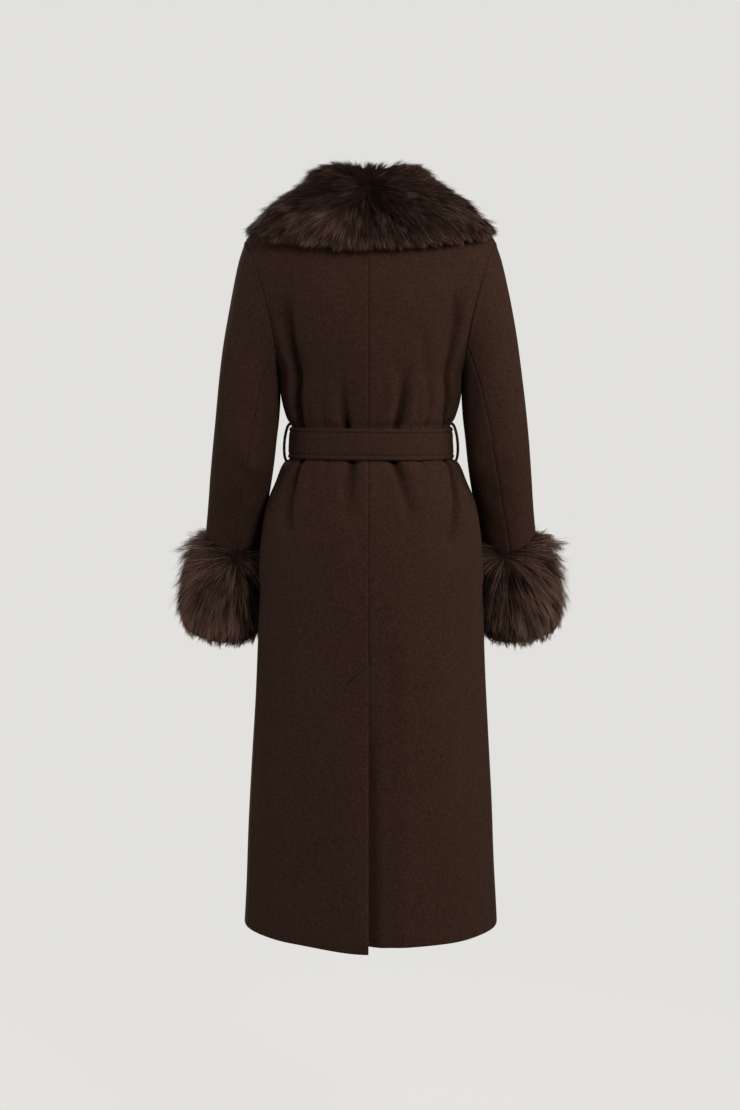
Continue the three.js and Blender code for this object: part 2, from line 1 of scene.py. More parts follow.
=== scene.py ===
# %% [markdown]
# The object is a long wool coat with a fur collar, fur cuffs and a tie belt, seen from behind.
# It keeps the shape of a wearer who isn't there: neck, cuffs and hem are open. Every one of
# them is cloth or fur, so each gets a finer piece here, made from the same sizes, and the
# solid stays hidden for collision only.

import bpy
import numpy as np
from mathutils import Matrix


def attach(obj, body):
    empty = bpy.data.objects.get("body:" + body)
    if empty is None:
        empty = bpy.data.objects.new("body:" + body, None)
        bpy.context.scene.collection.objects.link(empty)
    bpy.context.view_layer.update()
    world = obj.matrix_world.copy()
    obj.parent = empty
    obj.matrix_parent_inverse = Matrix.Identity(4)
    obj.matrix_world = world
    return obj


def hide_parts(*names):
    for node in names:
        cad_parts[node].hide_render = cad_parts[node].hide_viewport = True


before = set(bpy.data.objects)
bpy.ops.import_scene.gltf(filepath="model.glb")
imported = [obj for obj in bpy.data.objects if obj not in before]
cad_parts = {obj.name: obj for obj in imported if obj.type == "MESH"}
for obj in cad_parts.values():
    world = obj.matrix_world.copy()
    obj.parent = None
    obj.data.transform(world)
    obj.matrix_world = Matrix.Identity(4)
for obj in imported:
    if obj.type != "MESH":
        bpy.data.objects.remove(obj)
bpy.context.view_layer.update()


# %% [markdown]
# A garment pattern is a set of curves, and the coat's form is kept as such curves: short tables
# in millimetres, read smoothly in between. A table could also be a spline object, but a small
# monotone reader never overshoots, so cloth that is straight in the table stays straight here.


# %% Tables, smooth reading and fading
MM = 0.001


def table(columns, rows):
    """A short table with named columns, as one array for each column."""
    values = np.array(rows, float)
    return {name: values[:, i] for i, name in enumerate(columns.split())}


def fade(value, start, stop):
    share = np.clip((np.asarray(value, float) - start) / (stop - start), 0, 1)
    return share * share * (3 - 2 * share)


def bell(value, wide):
    """A smooth bump: 1 at zero and almost gone at twice its width."""
    return np.exp(-((value / wide) ** 2))


def power(value, exponent):
    return np.sign(value) * np.abs(value) ** exponent


def unit(vector):
    return vector / np.maximum(np.linalg.norm(vector, axis=-1, keepdims=True), 1e-9)


def read(rows, column, place, by="z"):
    """Smooth values of a column at places given by another column, with no overshoot."""
    keys, values = rows[by], rows[column]
    step = np.diff(keys)
    slope = np.diff(values) / step
    product, total = slope[:-1] * slope[1:], slope[:-1] + slope[1:]
    middle = np.where(product > 0, 2 * product / np.where(total == 0, 1, total), 0)
    tangent = np.concatenate([slope[:1], middle, slope[-1:]])
    way = np.sign(step[0])
    place = np.asarray(place, float)
    i = np.clip(np.searchsorted(way * keys, way * place) - 1, 0, len(step) - 1)
    t = np.clip((place - keys[i]) / step[i], 0, 1)
    rise = t * t * (3 - 2 * t)
    plain = values[i] * (1 - rise) + values[i + 1] * rise
    return plain + step[i] * (tangent[i] * t * (1 - t) ** 2 - tangent[i + 1] * t * t * (1 - t))


halfway = float(read(table("z v", [(0, 0), (1, 10)]), "v", 0.5))
print("read test, halfway between 0 and 10:", halfway)

# %% [markdown]
# The body is a column of girths. Each is half a rounded rectangle towards the back and half
# towards the front, and narrows at the waist. The armhole is a leaning oval cut out of it.
# Turn is the angle round the coat from the centre back, positive to the wearer's left.

# %% Sizes of the body
CLOTH, HEM, SHOULDER_TIP, SEAM_X = 3.0, -1160.0, -60.0, 4.0
BODY = table(
    "z side back front square seam_turn",
    [
        (0, 75, 60, 54, 2.0, 0),
        (-20, 121, 70, 64, 2.0, 0),
        (-40, 164, 79, 73, 2.0, 0),
        (-60, 197, 86, 82, 2.0, 0),
        (-100, 205, 98, 99, 2.0, 0),
        (-164, 202, 106, 118, 2.05, 0),
        (-220, 170, 105, 124, 2.1, 0),
        (-268, 147, 100, 119, 2.15, 0),
        (-305, 143, 96, 109, 2.2, 2),
        (-342, 132.6, 91.5, 100, 2.2, 5),
        (-352, 126, 88, 95.5, 2.2, 5),
        (-405, 128.6, 89.5, 96.5, 2.2, 7),
        (-411, 138.5, 95, 100, 2.2, 8),
        (-440, 151.6, 105, 106, 2.2, 9),
        (-472, 163.6, 113, 111, 2.2, 10),
        (-560, 175.5, 124, 116, 2.2, 13),
        (-700, 182, 130, 122, 2.2, 15),
        (-904, 193, 146, 138, 2.08, 16),
        (-1160, 206, 166, 158, 1.95, 17),
    ],
)
HOLE_X, HOLE_Z, HOLE_LEAN, HOLE_RISE, HOLE_DEEP, HOLE_HOLLOW = 172, -164, 25, 104, 62, 10
UNDERARM = HOLE_Z - HOLE_RISE


# %% Girths and edges of the body
def armhole(turn):
    c, s = np.cos(turn), np.sin(turn)
    return HOLE_X + HOLE_LEAN * c - HOLE_HOLLOW * s * s, HOLE_DEEP * s, HOLE_Z + HOLE_RISE * c


def girth(z, back):
    """Half width, depth, bend and edge angle of one half of a girth."""
    depth = np.where(back, read(BODY, "back", z), read(BODY, "front", z))
    bend = 2 / read(BODY, "square", z)
    cut = (z < SHOULDER_TIP) & (z > UNDERARM)
    x, y, _ = armhole(np.arccos(np.clip((z - HOLE_Z) / HOLE_RISE, -1, 1)))
    edge = np.where(cut, np.arcsin(np.clip(np.abs(y) / depth, 0, 1) ** (1 / bend)), 0)
    side = np.where(cut, x / np.cos(edge) ** bend, read(BODY, "side", z))
    return side, depth, bend, np.degrees(edge)


def on_girth(z, turn):
    z, turn = np.broadcast_arrays(np.asarray(z, float), np.asarray(turn, float))
    c, s = np.cos(np.radians(turn)), np.sin(np.radians(turn))
    side, depth, bend, _ = girth(z, c >= -1e-9)
    return np.stack([side * power(s, bend), depth * power(c, bend), z], axis=-1)


def turn_at(z, x, back):
    """Turn at which the body passes a given x, on its back or its front."""
    side, _, bend, _ = girth(z, back)
    turn = np.degrees(np.arcsin(np.clip(power(x / side, 1 / bend), -1, 1)))
    return np.where(back, turn, 180 - turn)


def edge_turn(z, back):
    """Turn of a panel's outer edge: shoulder seam, armhole, then side seam."""
    edge = girth(z, back)[3]
    below = 90 - np.where(z > UNDERARM, 0, read(BODY, "seam_turn", z))
    cut = (z < SHOULDER_TIP) & (z > UNDERARM)
    return np.where(cut, np.where(back, 90 - edge, 90 + edge), below)


def panel_edge(z, back):
    """Edge of the shown panel, let in a little under the sleeve round the armhole."""
    under = fade(z, SHOULDER_TIP - 2, SHOULDER_TIP - 14) * fade(z, UNDERARM + 2, UNDERARM + 14)
    return edge_turn(z, back) + np.where(back, 0.45, -0.45) * under


print("girth at the waist:", [round(float(v), 1) for v in girth(np.float64(-385), True)])

# %% [markdown]
# Heavy wool folds softly. Troughs run down from the shoulder blades into the belt, where the
# cloth is drawn in, and short ones start again below it. The skirt swings in wide, low waves.
# A cloth simulation could give such folds, but not these ones, so each is given one by one as a
# trough or a ridge with its own slant, width and depth. Pleats have a second table: they are
# deepest at the belt's edge, where the cloth is gathered into dark pits, and run out away from
# it. No fold crosses a seam of the armhole. The front gets similar folds.

# %% Folds of the body
FOLDS = table(
    "top bottom top_turn bottom_turn depth wide",
    [
        (-130, -352, 38, 58, -5.5, 7),
        (-150, -352, 47, 67, 4, 5),
        (-220, -352, 8, 12, -2.5, 4),
        (-230, -352, -13, -20, -2.5, 4),
        (-120, -352, -37, -61, -5.5, 7),
        (-160, -352, -46, -69, 4, 5),
        (-180, -336, -21, -43, -3, 4),
        (-120, -352, 128, 132, -5, 6),
        (-120, -352, -130, -134, -5, 6),
        (-409, -520, 61, 48, -5, 5),
        (-409, -500, 16, 9, -3, 4),
        (-409, -490, -18, -21, -3, 4),
        (-409, -540, -66, -42, -5, 5),
        (-409, -560, 120, 128, -4, 6),
        (-409, -560, -122, -130, -4, 6),
        (-560, -1160, 34, 40, 3, 11),
        (-640, -1160, -32, -42, 3.5, 11),
        (-600, -1160, 138, 130, 4, 11),
        (-600, -1160, -140, -132, 4, 11),
        # Broad swells beside the sleeves, and finer creases that the solids leave out
        (-445, -610, 87, 87, 3.0, 13),
        (-445, -610, -87, -87, 3.0, 13),
        (-200, -352, 27, 33, -1.4, 2.2),
        (-250, -349, 20, 22, -1.1, 1.8),
        (-262, -349, 41, 45, -1.3, 2.0),
        (-240, -349, -27, -31, -1.4, 2.2),
        (-266, -349, -6, -8, -1.0, 1.8),
        (-290, -349, -47, -50, -1.2, 2.0),
        (-300, -349, 74, 79, -1.5, 2.4),
        (-300, -349, -76, -80, -1.5, 2.4),
        (-411, -470, 38, 34, -1.8, 2.2),
        (-411, -455, 27, 26, -1.3, 1.8),
        (-411, -462, -30, -28, -1.7, 2.2),
        (-411, -452, -9, -9, -1.1, 1.8),
        (-411, -466, -54, -49, -1.6, 2.4),
        (-411, -474, 75, 68, -1.6, 2.4),
        (-411, -480, -79, -72, -1.5, 2.4),
        (-230, -349, 104, 107, -1.5, 2.6),
        (-240, -349, 146, 150, -1.6, 2.6),
        (-250, -349, -108, -111, -1.5, 2.6),
        (-210, -349, -150, -156, -1.4, 2.6),
        (-411, -480, 103, 105, -1.6, 2.4),
        (-411, -470, 141, 139, -1.7, 2.4),
        (-411, -476, -104, -107, -1.6, 2.4),
        (-411, -462, -145, -142, -1.6, 2.4),
    ],
)
# Pleats that the belt presses in, sharpest at its edge and gone at the far height. A crisp one
# is steep towards the centre back and shallow on its other side.
PLEATS = table(
    "belt far belt_turn far_turn depth wide crisp",
    [
        (-357, -225, 16, 16, -12.5, 3.0, 0),
        (-357, -215, -16, -23, -12.0, 3.2, 0),
        (-357, -100, 57, 34, -13.0, 8.0, 0.75),
        (-357, -100, -64.5, -34, -12.0, 8.0, 0.75),
        (-357, -328, 16, 16, -8.0, 2.4, 0),
        (-357, -328, -16, -16.5, -8.0, 2.4, 0),
        (-357, -286, 33, 30, -3.0, 2.6, 0),
        (-357, -270, -40, -35, -4.5, 2.8, 0.4),
        (-350, -290, 22, 20, 3.0, 3.6, 0),
        (-350, -290, -8, -11, 2.6, 3.4, 0),
        (-357, -240, 128, 124, -7.0, 3.6, 0),
        (-357, -250, -130, -124, -7.0, 3.6, 0),
        (-357, -270, 152, 149, -4.0, 3.2, 0),
        (-357, -265, -154, -150, -4.0, 3.2, 0),
        (-401, -545, 55, 43, -11.5, 3.8, 0.3),
        (-401, -500, 11, 8, -10.0, 3.2, 0),
        (-401, -515, -14, -20, -10.5, 3.4, 0),
        (-401, -560, -64, -42, -11.5, 4.0, 0.3),
        (-401, -440, 55, 54, -6.0, 2.4, 0),
        (-401, -432, 11, 11, -6.0, 2.2, 0),
        (-401, -436, -14, -15, -6.0, 2.2, 0),
        (-401, -440, -64, -62, -6.0, 2.4, 0),
        (-401, -470, 29, 27, -3.0, 2.6, 0),
        (-401, -465, -34, -32, -3.4, 2.6, 0),
        (-401, -530, 124, 128, -7.0, 3.6, 0),
        (-401, -520, -122, -127, -7.0, 3.6, 0),
        (-401, -490, 150, 147, -4.0, 3.2, 0),
        (-401, -480, -152, -149, -4.0, 3.2, 0),
    ],
)
PLEAT_START = 4  # distance from the belt at which a pleat has its full depth
rng = np.random.default_rng(71)
RIPPLES = [
    (rng.normal(0, 1, 3) / rng.uniform(45, 110), rng.uniform(0, 6.28), rng.uniform(0.1, 0.34))
    for _ in range(14)
]


def ripple(points):
    """Low unevenness of pressed cloth, the same on both sides of a seam."""
    return sum(height * np.sin(points @ way + start) for way, start, height in RIPPLES)


def fold_at(z, turn):
    """How far the folds move the cloth out. Troughs are negative."""
    z, turn = np.broadcast_arrays(np.asarray(z, float), np.asarray(turn, float))
    back = np.abs(turn) < 90
    off_edge = np.where(back, 1, -1) * (edge_turn(z, back) - np.abs(turn))
    clear = np.where(z > UNDERARM, fade(off_edge, 1.2, 10), 1)
    total = np.zeros(z.shape)
    for top, bottom, top_turn, bottom_turn, depth, wide in zip(*FOLDS.values()):
        down = (top - z) / (top - bottom)
        ends = fade(down, 0, 0.3) * (fade(down, 1, 0.92) if bottom > HEM else 1)
        middle = top_turn + (bottom_turn - top_turn) * down
        inside = (down >= 0) & (down <= 1)
        total += np.where(inside, depth * ends * bell(turn - middle, wide), 0)
    for belt, far, belt_turn, far_turn, depth, wide, crisp in zip(*PLEATS.values()):
        away = (z - belt) / (far - belt)
        off = (turn - belt_turn - (far_turn - belt_turn) * away) * np.sign(belt_turn)
        run_out = np.clip(1 - away, 0, 1) ** (1.3 - 0.35 * (crisp > 0.5))
        ends = fade(away * abs(far - belt), 0, PLEAT_START) * run_out
        total += depth * ends * bell(off, wide * np.where(off < 0, 1 - crisp, 1))
    return clear * total


def on_body(z, turn, out=0.0, folded=True):
    """Points of the coat's surface, moved out along the girth's normal. The belt isn't folded."""
    point, turn = on_girth(z, turn), np.asarray(turn)
    ahead = on_girth(z, turn + 0.5) - on_girth(z, turn - 0.5)
    normal = unit(np.stack([-ahead[..., 1], ahead[..., 0], np.zeros(ahead.shape[:-1])], axis=-1))
    return point + normal * (folded * fold_at(z, turn) + out)[..., None]


print("folds:", len(FOLDS["top"]), "pleats:", len(PLEATS["far"]))
print("centre back at the waist:", on_body(-385.0, 0.0).round(1))

# %% [markdown]
# Every piece of cloth is a thin closed shell. A grid of points gives its outer face, a second
# grid its inner face 3 mm further in, and rims join the two. Seams are soft grooves: close to a
# sewn edge the face sinks by about a millimetre and swells a little beside it, as in pressed wool.


# %% Grids become shells
def grid_normals(grid, round_=False):
    if round_:
        grid = np.concatenate([grid[:, -2:], grid, grid[:, :2]], axis=1)
    normal = np.cross(np.gradient(grid, axis=1), np.gradient(grid, axis=0))
    return unit(normal[:, 2:-2] if round_ else normal)


def outward(normal, grid, centre):
    """Turns the normals so that they point away from a middle line."""
    return normal * np.sign(np.sum(normal * (grid - centre), axis=-1).mean())


def shell(outer, inner, round_=False):
    """Points and faces of a closed shell from its outer and inner grid."""
    rows, columns = outer.shape[:2]
    points = np.concatenate([outer.reshape(-1, 3), inner.reshape(-1, 3)])
    last = columns if round_ else columns - 1
    i, j = np.meshgrid(np.arange(rows - 1), np.arange(last), indexing="ij")
    a, b = i * columns + j, i * columns + (j + 1) % columns
    c, d = b + columns, a + columns
    side = rows * columns
    faces = [np.stack([a, d, c, b], -1).reshape(-1, 4)]
    faces.append(np.stack([a, b, c, d], -1).reshape(-1, 4) + side)

    def rim(a, b, flip):
        quads = np.stack([a, b, b + side, a + side], -1)
        faces.append(quads[:, ::-1] if flip else quads)

    j = np.arange(last)
    for row, flip in ((0, False), (rows - 1, True)):
        rim(row * columns + j, row * columns + (j + 1) % columns, flip)
    if not round_:
        i = np.arange(rows - 1) * columns
        for column, flip in ((0, True), (columns - 1, False)):
            rim(i + column, i + columns + column, flip)
    return points, np.concatenate(faces)


def volume(points, faces):
    a, b, c = points[faces[:, 0]], points[faces[:, 1]], points[faces[:, 2]]
    total = np.sum(a * np.cross(b, c))
    if faces.shape[1] == 4:
        total += np.sum(a * np.cross(c, points[faces[:, 3]]))
    return total / 6


def put(name, points, faces, material, slot, smooth=True):
    """A mesh object from points in millimetres, riding on the coat."""
    if volume(points, faces) < 0:
        faces = faces[:, ::-1]
    data = bpy.data.meshes.new(name)
    data.vertices.add(len(points))
    data.vertices.foreach_set("co", (points * MM).astype(np.float32).ravel())
    data.loops.add(faces.size)
    data.loops.foreach_set("vertex_index", faces.astype(np.int32).ravel())
    data.polygons.add(len(faces))
    starts = np.arange(0, faces.size, faces.shape[1], dtype=np.int32)
    data.polygons.foreach_set("loop_start", starts)
    data.polygons.foreach_set("use_smooth", np.full(len(faces), smooth))
    data.update(calc_edges=True)
    data.validate()
    data.materials.append(material)
    piece = bpy.data.objects.new(name, data)
    bpy.context.scene.collection.objects.link(piece)
    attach(piece, "root")
    return piece


def mark(piece, title, values):
    """A number for each point, which the materials read by its title."""
    attribute = piece.data.attributes.new(title, "FLOAT", "POINT")
    attribute.data.foreach_set("value", values.astype(np.float32))


def along(grid, axis):
    """Distance from the first point of each row or column, along it."""
    step = np.linalg.norm(np.diff(grid, axis=axis), axis=-1)
    start = np.zeros_like(np.take(step, [0], axis=axis))
    return np.concatenate([start, np.cumsum(step, axis=axis)], axis=axis)


SEAM_DEEP, SEAM_NARROW, SWELL_AT, SWELL_WIDE = 1.1, 1.3, 5.5, 3.5


def seam_dip(distance, swell=0.35):
    """The groove of a seam, and the low swell beside it."""
    return swell * bell(distance - SWELL_AT, SWELL_WIDE) - SEAM_DEEP * bell(distance, SEAM_NARROW)


def hang(name, grid):
    """States the cut of a hanging sheet, measured on its shown face: flat size and area."""
    wide, long = along(grid, 1)[:, -1].max(), along(grid, 0)[-1].max()
    d1, d2 = grid[1:, 1:] - grid[:-1, :-1], grid[1:, :-1] - grid[:-1, 1:]
    area = 0.5 * np.linalg.norm(np.cross(d1, d2), axis=-1).sum()
    flat, area = (round(wide * MM, 3), round(long * MM, 3)), round(area * MM * MM, 4)
    print(f"{name}: cut {flat[0]} by {flat[1]} m, {area} m2")


# %% [markdown]
# The wool is a felted, brushed cloth: no thread shows, only a short nap with a faint mottle that
# runs with the grain. A picture of cloth would need unwrapping, and noise in the coat's own
# space doesn't. One group makes the nap for every woollen and sewn piece. It gives a tone and
# a normal, and each material has its own shader round it. The bottom of a deep fold gathers
# shadow, and the group paints that shade into the tone: each panel carries a number, hollow,
# that takes a little off the tone there.


# %% Node helpers and the nap group
def new_group(name, inputs, outputs):
    group = bpy.data.node_groups.new(name, "ShaderNodeTree")
    for title, kind, value in inputs:
        socket = group.interface.new_socket(title, in_out="INPUT", socket_type=kind)
        if value is not None:
            socket.default_value = value
    for title, kind in outputs:
        group.interface.new_socket(title, in_out="OUTPUT", socket_type=kind)
    return group, group.nodes.new("NodeGroupInput"), group.nodes.new("NodeGroupOutput")


def add(tree, kind, links=(), **settings):
    """A node with its settings and its incoming links: (input, socket or value)."""
    node = tree.nodes.new(kind)
    for key, value in settings.items():
        setattr(node, key, value)
    for target, source in links:
        if isinstance(source, bpy.types.NodeSocket):
            tree.links.new(source, node.inputs[target])
        else:
            node.inputs[target].default_value = source
    return node


def weighed(tree, parts, total=None):
    """The sum of values, each times its weight."""
    for source, weight in parts:
        kind, rest = ("MULTIPLY", []) if total is None else ("MULTIPLY_ADD", [(2, total)])
        node = add(tree, "ShaderNodeMath", [(0, source), (1, weight), *rest], operation=kind)
        total = node.outputs[0]
    return total


def nap_and_fold_shade_group():
    group, given, result = new_group(
        "Felted nap and fold shade",
        [("Grain", "NodeSocketFloat", 620.0), ("Relief", "NodeSocketFloat", 0.35)],
        [("Tone", "NodeSocketFloat"), ("Normal", "NodeSocketVector")],
    )
    place = add(group, "ShaderNodeTexCoord").outputs["Object"]

    def drawn_out(stretch):
        links = [(0, place), (1, stretch)]
        return add(group, "ShaderNodeVectorMath", links, operation="MULTIPLY").outputs[0]

    def noise(where, scale, detail, rough=0.5):
        links = [("Vector", where), ("Scale", scale), ("Detail", detail), ("Roughness", rough)]
        return add(group, "ShaderNodeTexNoise", links).outputs["Fac"]

    grain, down_the_cloth = given.outputs["Grain"], drawn_out((1.0, 1.0, 0.34))
    warp = noise(down_the_cloth, grain, 3.0, 0.6)
    weft = noise(drawn_out((0.34, 0.34, 1.2)), grain, 2.0, 0.6)
    mottle, cloud = noise(down_the_cloth, 95.0, 3.0), noise(place, 11.0, 2.0)
    # Painted shade: the troughs of deep folds, marked by each panel's hollow number, are darkened
    hollow = add(group, "ShaderNodeAttribute", attribute_name="hollow").outputs["Fac"]
    height = weighed(group, [(warp, 0.50), (weft, 0.40), (mottle, 0.05)])
    tone = weighed(group, [(cloud, 0.05), (hollow, -0.12)], height)
    links = [("Strength", given.outputs["Relief"]), ("Distance", 0.0006), ("Height", height)]
    group.links.new(tone, result.inputs["Tone"])
    group.links.new(add(group, "ShaderNodeBump", links).outputs[0], result.inputs["Normal"])
    return group


def material(name):
    result = bpy.data.materials.new(name)
    result.use_nodes = True
    result.node_tree.nodes.clear()
    output = result.node_tree.nodes.new("ShaderNodeOutputMaterial")
    shader = result.node_tree.nodes.new("ShaderNodeBsdfPrincipled")
    result.node_tree.links.new(shader.outputs[0], output.inputs["Surface"])
    return result, result.node_tree, shader


NAP_AND_FOLD_SHADE = nap_and_fold_shade_group()


def cloth_material(name, dark, light, rough, sheen, grain, relief):
    result, tree, shader = material(name)
    nap = add(tree, "ShaderNodeGroup", node_tree=NAP_AND_FOLD_SHADE)
    nap.inputs["Grain"].default_value = grain
    nap.inputs["Relief"].default_value = relief
    tones = [("Value", nap.outputs["Tone"]), ("From Min", 0.35), ("From Max", 0.65)]
    colour = add(tree, "ShaderNodeMix", data_type="RGBA")
    shade = add(tree, "ShaderNodeMapRange", tones).outputs["Result"]
    tree.links.new(shade, colour.inputs["Factor"])
    colour.inputs[6].default_value = (*dark, 1)
    colour.inputs[7].default_value = (*light, 1)
    tree.links.new(colour.outputs[2], shader.inputs["Base Color"])
    tree.links.new(nap.outputs["Normal"], shader.inputs["Normal"])
    shader.inputs["Roughness"].default_value = rough
    shader.inputs["Specular IOR Level"].default_value = 0.02
    shader.inputs["Sheen Weight"].default_value = sheen
    shader.inputs["Sheen Roughness"].default_value = 0.45
    shader.inputs["Sheen Tint"].default_value = (0.62, 0.47, 0.4, 1)
    return result


WOOL_TONES = (0.0160, 0.0076, 0.0048), (0.0415, 0.0214, 0.0143)
THREAD_TONES = (0.0110, 0.0056, 0.0040), (0.0240, 0.0130, 0.0092)
WOOL = cloth_material("Wool", *WOOL_TONES, rough=0.92, sheen=0.03, grain=640.0, relief=0.4)
THREAD = cloth_material("Thread", *THREAD_TONES, rough=0.75, sheen=0.02, grain=1500.0, relief=0.5)
print("materials:", WOOL.name, THREAD.name)

# %% [markdown]
# The body is four panels: two backs sewn down the centre, and two fronts that overlap at the
# waist. Their rows follow heights, close together in the armhole, and their columns run from
# seam to seam, close together at each seam so that its groove is crisp. Below the vent's top
# the wearer's left back lies over the right one, stands out a little and hangs lower.

# %% Heights and columns
ROLL_NECK, ROLL_BREAK_X, ROLL_BREAK_Z = 72, 55, -330
VENT_TOP, VENT_SLOPE, VENT_UNDER, VENT_INSET, VENT_FLARE, VENT_DROP = -722, -752, 45, 3.8, 14, 5
VENT_RAISE, VENT_SPREAD = 0.8, 130
# How far the under panel falls back beside the upper one's edge, and over what width
VENT_SHADOW, VENT_BESIDE = 11.0, 26
LAP_INSET, LAP_FROM, LAP_FULL = 3.8, 98, 74
HEIGHTS = np.concatenate(
    [
        np.linspace(0, SHOULDER_TIP, 12, endpoint=False),
        HOLE_Z + HOLE_RISE * np.cos(np.radians(np.arange(0, 181, 5.0))),
        np.linspace(UNDERARM - 7, -334, 11),
        np.linspace(-338, -424, 27),
        np.linspace(-430, VENT_TOP, 34),
        [VENT_TOP - 2, -729, -736, -744, VENT_SLOPE],
        np.linspace(-762, HEM + 7, 34),
        [HEM + 3, HEM + 1.2, HEM],
    ]
)


def shares(count, edge=(0, 0.005, 0.011, 0.019, 0.032)):
    """Column places from 0 to 1, with extra ones close to both edges."""
    middle = np.linspace(0.06, 0.94, count)
    return np.concatenate([edge, middle, 1 - np.array(edge)[::-1]])


def span(start, stop, columns):
    return start[:, None] + (stop - start)[:, None] * columns[None, :]


def roll_x(z):
    slant = ROLL_NECK - (ROLL_NECK + ROLL_BREAK_X) * z / ROLL_BREAK_Z
    return np.where(z <= ROLL_BREAK_Z, -ROLL_BREAK_X, slant)


def back_left():
    z = HEIGHTS[:, None]
    turn = span(turn_at(HEIGHTS, SEAM_X, True), panel_edge(HEIGHTS, True), shares(56))
    point = on_body(z, turn)
    down = fade(z, VENT_TOP, HEM) ** 2
    near = fade(point[..., 0], SEAM_X + VENT_SPREAD, SEAM_X)
    point[..., 1] += VENT_FLARE * down * near
    point[..., 2] -= VENT_DROP * down * near
    return point, fold_at(z, turn)


def back_right():
    z = HEIGHTS[:, None]
    middle = turn_at(HEIGHTS, np.where(HEIGHTS < VENT_TOP, SEAM_X + VENT_UNDER, SEAM_X), True)
    beside = turn_at(HEIGHTS, SEAM_X - 8, True)
    first = span(-panel_edge(HEIGHTS, True), beside, shares(56)[:-4] / shares(56)[-5])
    last = span(beside, middle, np.array([0.25, 0.45, 0.6, 0.72, 0.82, 0.9, 0.96, 1]))
    turn = np.concatenate([first, last], axis=1)
    x = on_girth(z, turn)[..., 0]
    inset = VENT_INSET * fade(z, VENT_TOP + 42, VENT_TOP) * fade(x, SEAM_X - 60, SEAM_X - 28)
    beside_edge = np.clip((x - SEAM_X + VENT_BESIDE) / VENT_BESIDE, 0, 1) ** 2
    inset = inset + VENT_SHADOW * fade(z, VENT_TOP - 10, VENT_TOP - 190) * beside_edge
    point = on_body(z, turn, -inset)
    near = fade(x, SEAM_X - VENT_SPREAD, SEAM_X)
    point[..., 2] += VENT_RAISE * fade(z, VENT_TOP, HEM) ** 2 * near
    return point, fold_at(z, turn)


def front(left):
    z = HEIGHTS[:, None]
    edge = turn_at(HEIGHTS, roll_x(HEIGHTS), False)
    if not left:
        turn = span(-edge, -panel_edge(HEIGHTS, False), shares(32))
        return on_body(z, turn), fold_at(z, turn)
    turn = span(panel_edge(HEIGHTS, False), edge, shares(32))
    x = on_girth(z, turn)[..., 0]
    inset = LAP_INSET * fade(x, LAP_FROM, LAP_FULL) * fade(z, -70, -120)
    return on_body(z, turn, -inset), fold_at(z, turn)


print("rows:", len(HEIGHTS), "columns:", len(shares(56)), "and", len(shares(32)))


# %% The four panels
EDGE_ROUND, EDGE_NARROW, HEM_ROLL, HEM_FOLD = 1.0, 1.4, 1.2, (4, -6)
# Painted shade of fold troughs, set by how deep the fold lies
FOLD_SHADE_FROM, FOLD_SHADE_FULL = 1.5, 9  # depths of a fold at which its shading starts and is full


def hem_roll(grid):
    """How far the last rows turn in, so that the hem's fold is round."""
    return -HEM_ROLL * fade(grid[..., 2], HEM + HEM_FOLD[0], HEM + HEM_FOLD[1])


def panel(name, shape, first_seam, last_seam):
    """One panel. Its two long edges are seams where their share is 1 and round edges where 0."""
    grid, fold = shape
    normal = outward(grid_normals(grid), grid, grid * [0, 0, 1])
    from_first = along(grid, 1)
    rise = ripple(grid) + hem_roll(grid)
    for seam, distance in ((first_seam, from_first), (last_seam, from_first[:, -1:] - from_first)):
        edge = EDGE_ROUND * bell(distance, EDGE_NARROW)
        rise = rise + seam * seam_dip(distance) - (1 - seam) * edge
    outer = grid + normal * rise[..., None]
    inner = grid - normal * (CLOTH - ripple(grid))[..., None]
    points, faces = shell(outer, inner)
    piece = put("cloth_" + name, points, faces, WOOL, "wool")
    # Painted shade: how deep each point lies in a fold, on both faces of the shell
    mark(piece, "hollow", np.tile(fade(-fold, FOLD_SHADE_FROM, FOLD_SHADE_FULL).ravel(), 2))
    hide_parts(name)
    hang(name, grid)


sewn_above_vent = fade(HEIGHTS, VENT_TOP - 4, VENT_TOP + 4)[:, None]
panel("back_left", back_left(), sewn_above_vent, 1.0)
panel("back_right", back_right(), 1.0, sewn_above_vent)
panel("front_left", front(True), 1.0, 0.0)
panel("front_right", front(False), 0.0, 1.0)

# %% [markdown]
# Each sleeve is cut in two: a wide upper half and a narrow one under the arm. Its rings lean
# from the armhole, straighten at the elbow and tilt forward into the cuff. The bend at the elbow
# gives short slanting creases, and the cloth under the arm is drawn towards the armhole.

# %% Sleeve sizes
SLEEVE = table(
    "place out_x out_z in_x in_z fore deep tilt seam",
    [
        (0, 197, -60, 147, -268, 0, 62, 0, 126),
        (1, 208, -92, 146, -277, 0, 61, 0, 123),
        (2, 217, -131, 144.8, -289, 0, 59, 0, 120),
        (3, 226, -178, 144.4, -308, 2, 56, 0, 116),
        (4, 234, -226, 146, -336, 5, 54, 0, 111),
        (5, 242, -288, 150.5, -374, 7, 52, 0, 106),
        (6, 250, -362, 155.5, -418, 4, 51, 3, 101),
        (7, 256, -420, 160, -446, -10, 50, 7, 97),
        (8, 261.5, -474, 168, -488, -28, 47, 11, 94),
        (9, 266, -524, 177, -529, -42, 44, 14, 91),
        (10, 268, -560, 186, -564, -52, 42, 15, 90),
        (11, 270, -604, 193, -608, -64, 42, 15, 90),
        (12, 271.5, -648, 194, -652, -76, 42, 15, 90),
        (13, 273, -690, 195, -694, -88, 42, 15, 90),
    ],
)
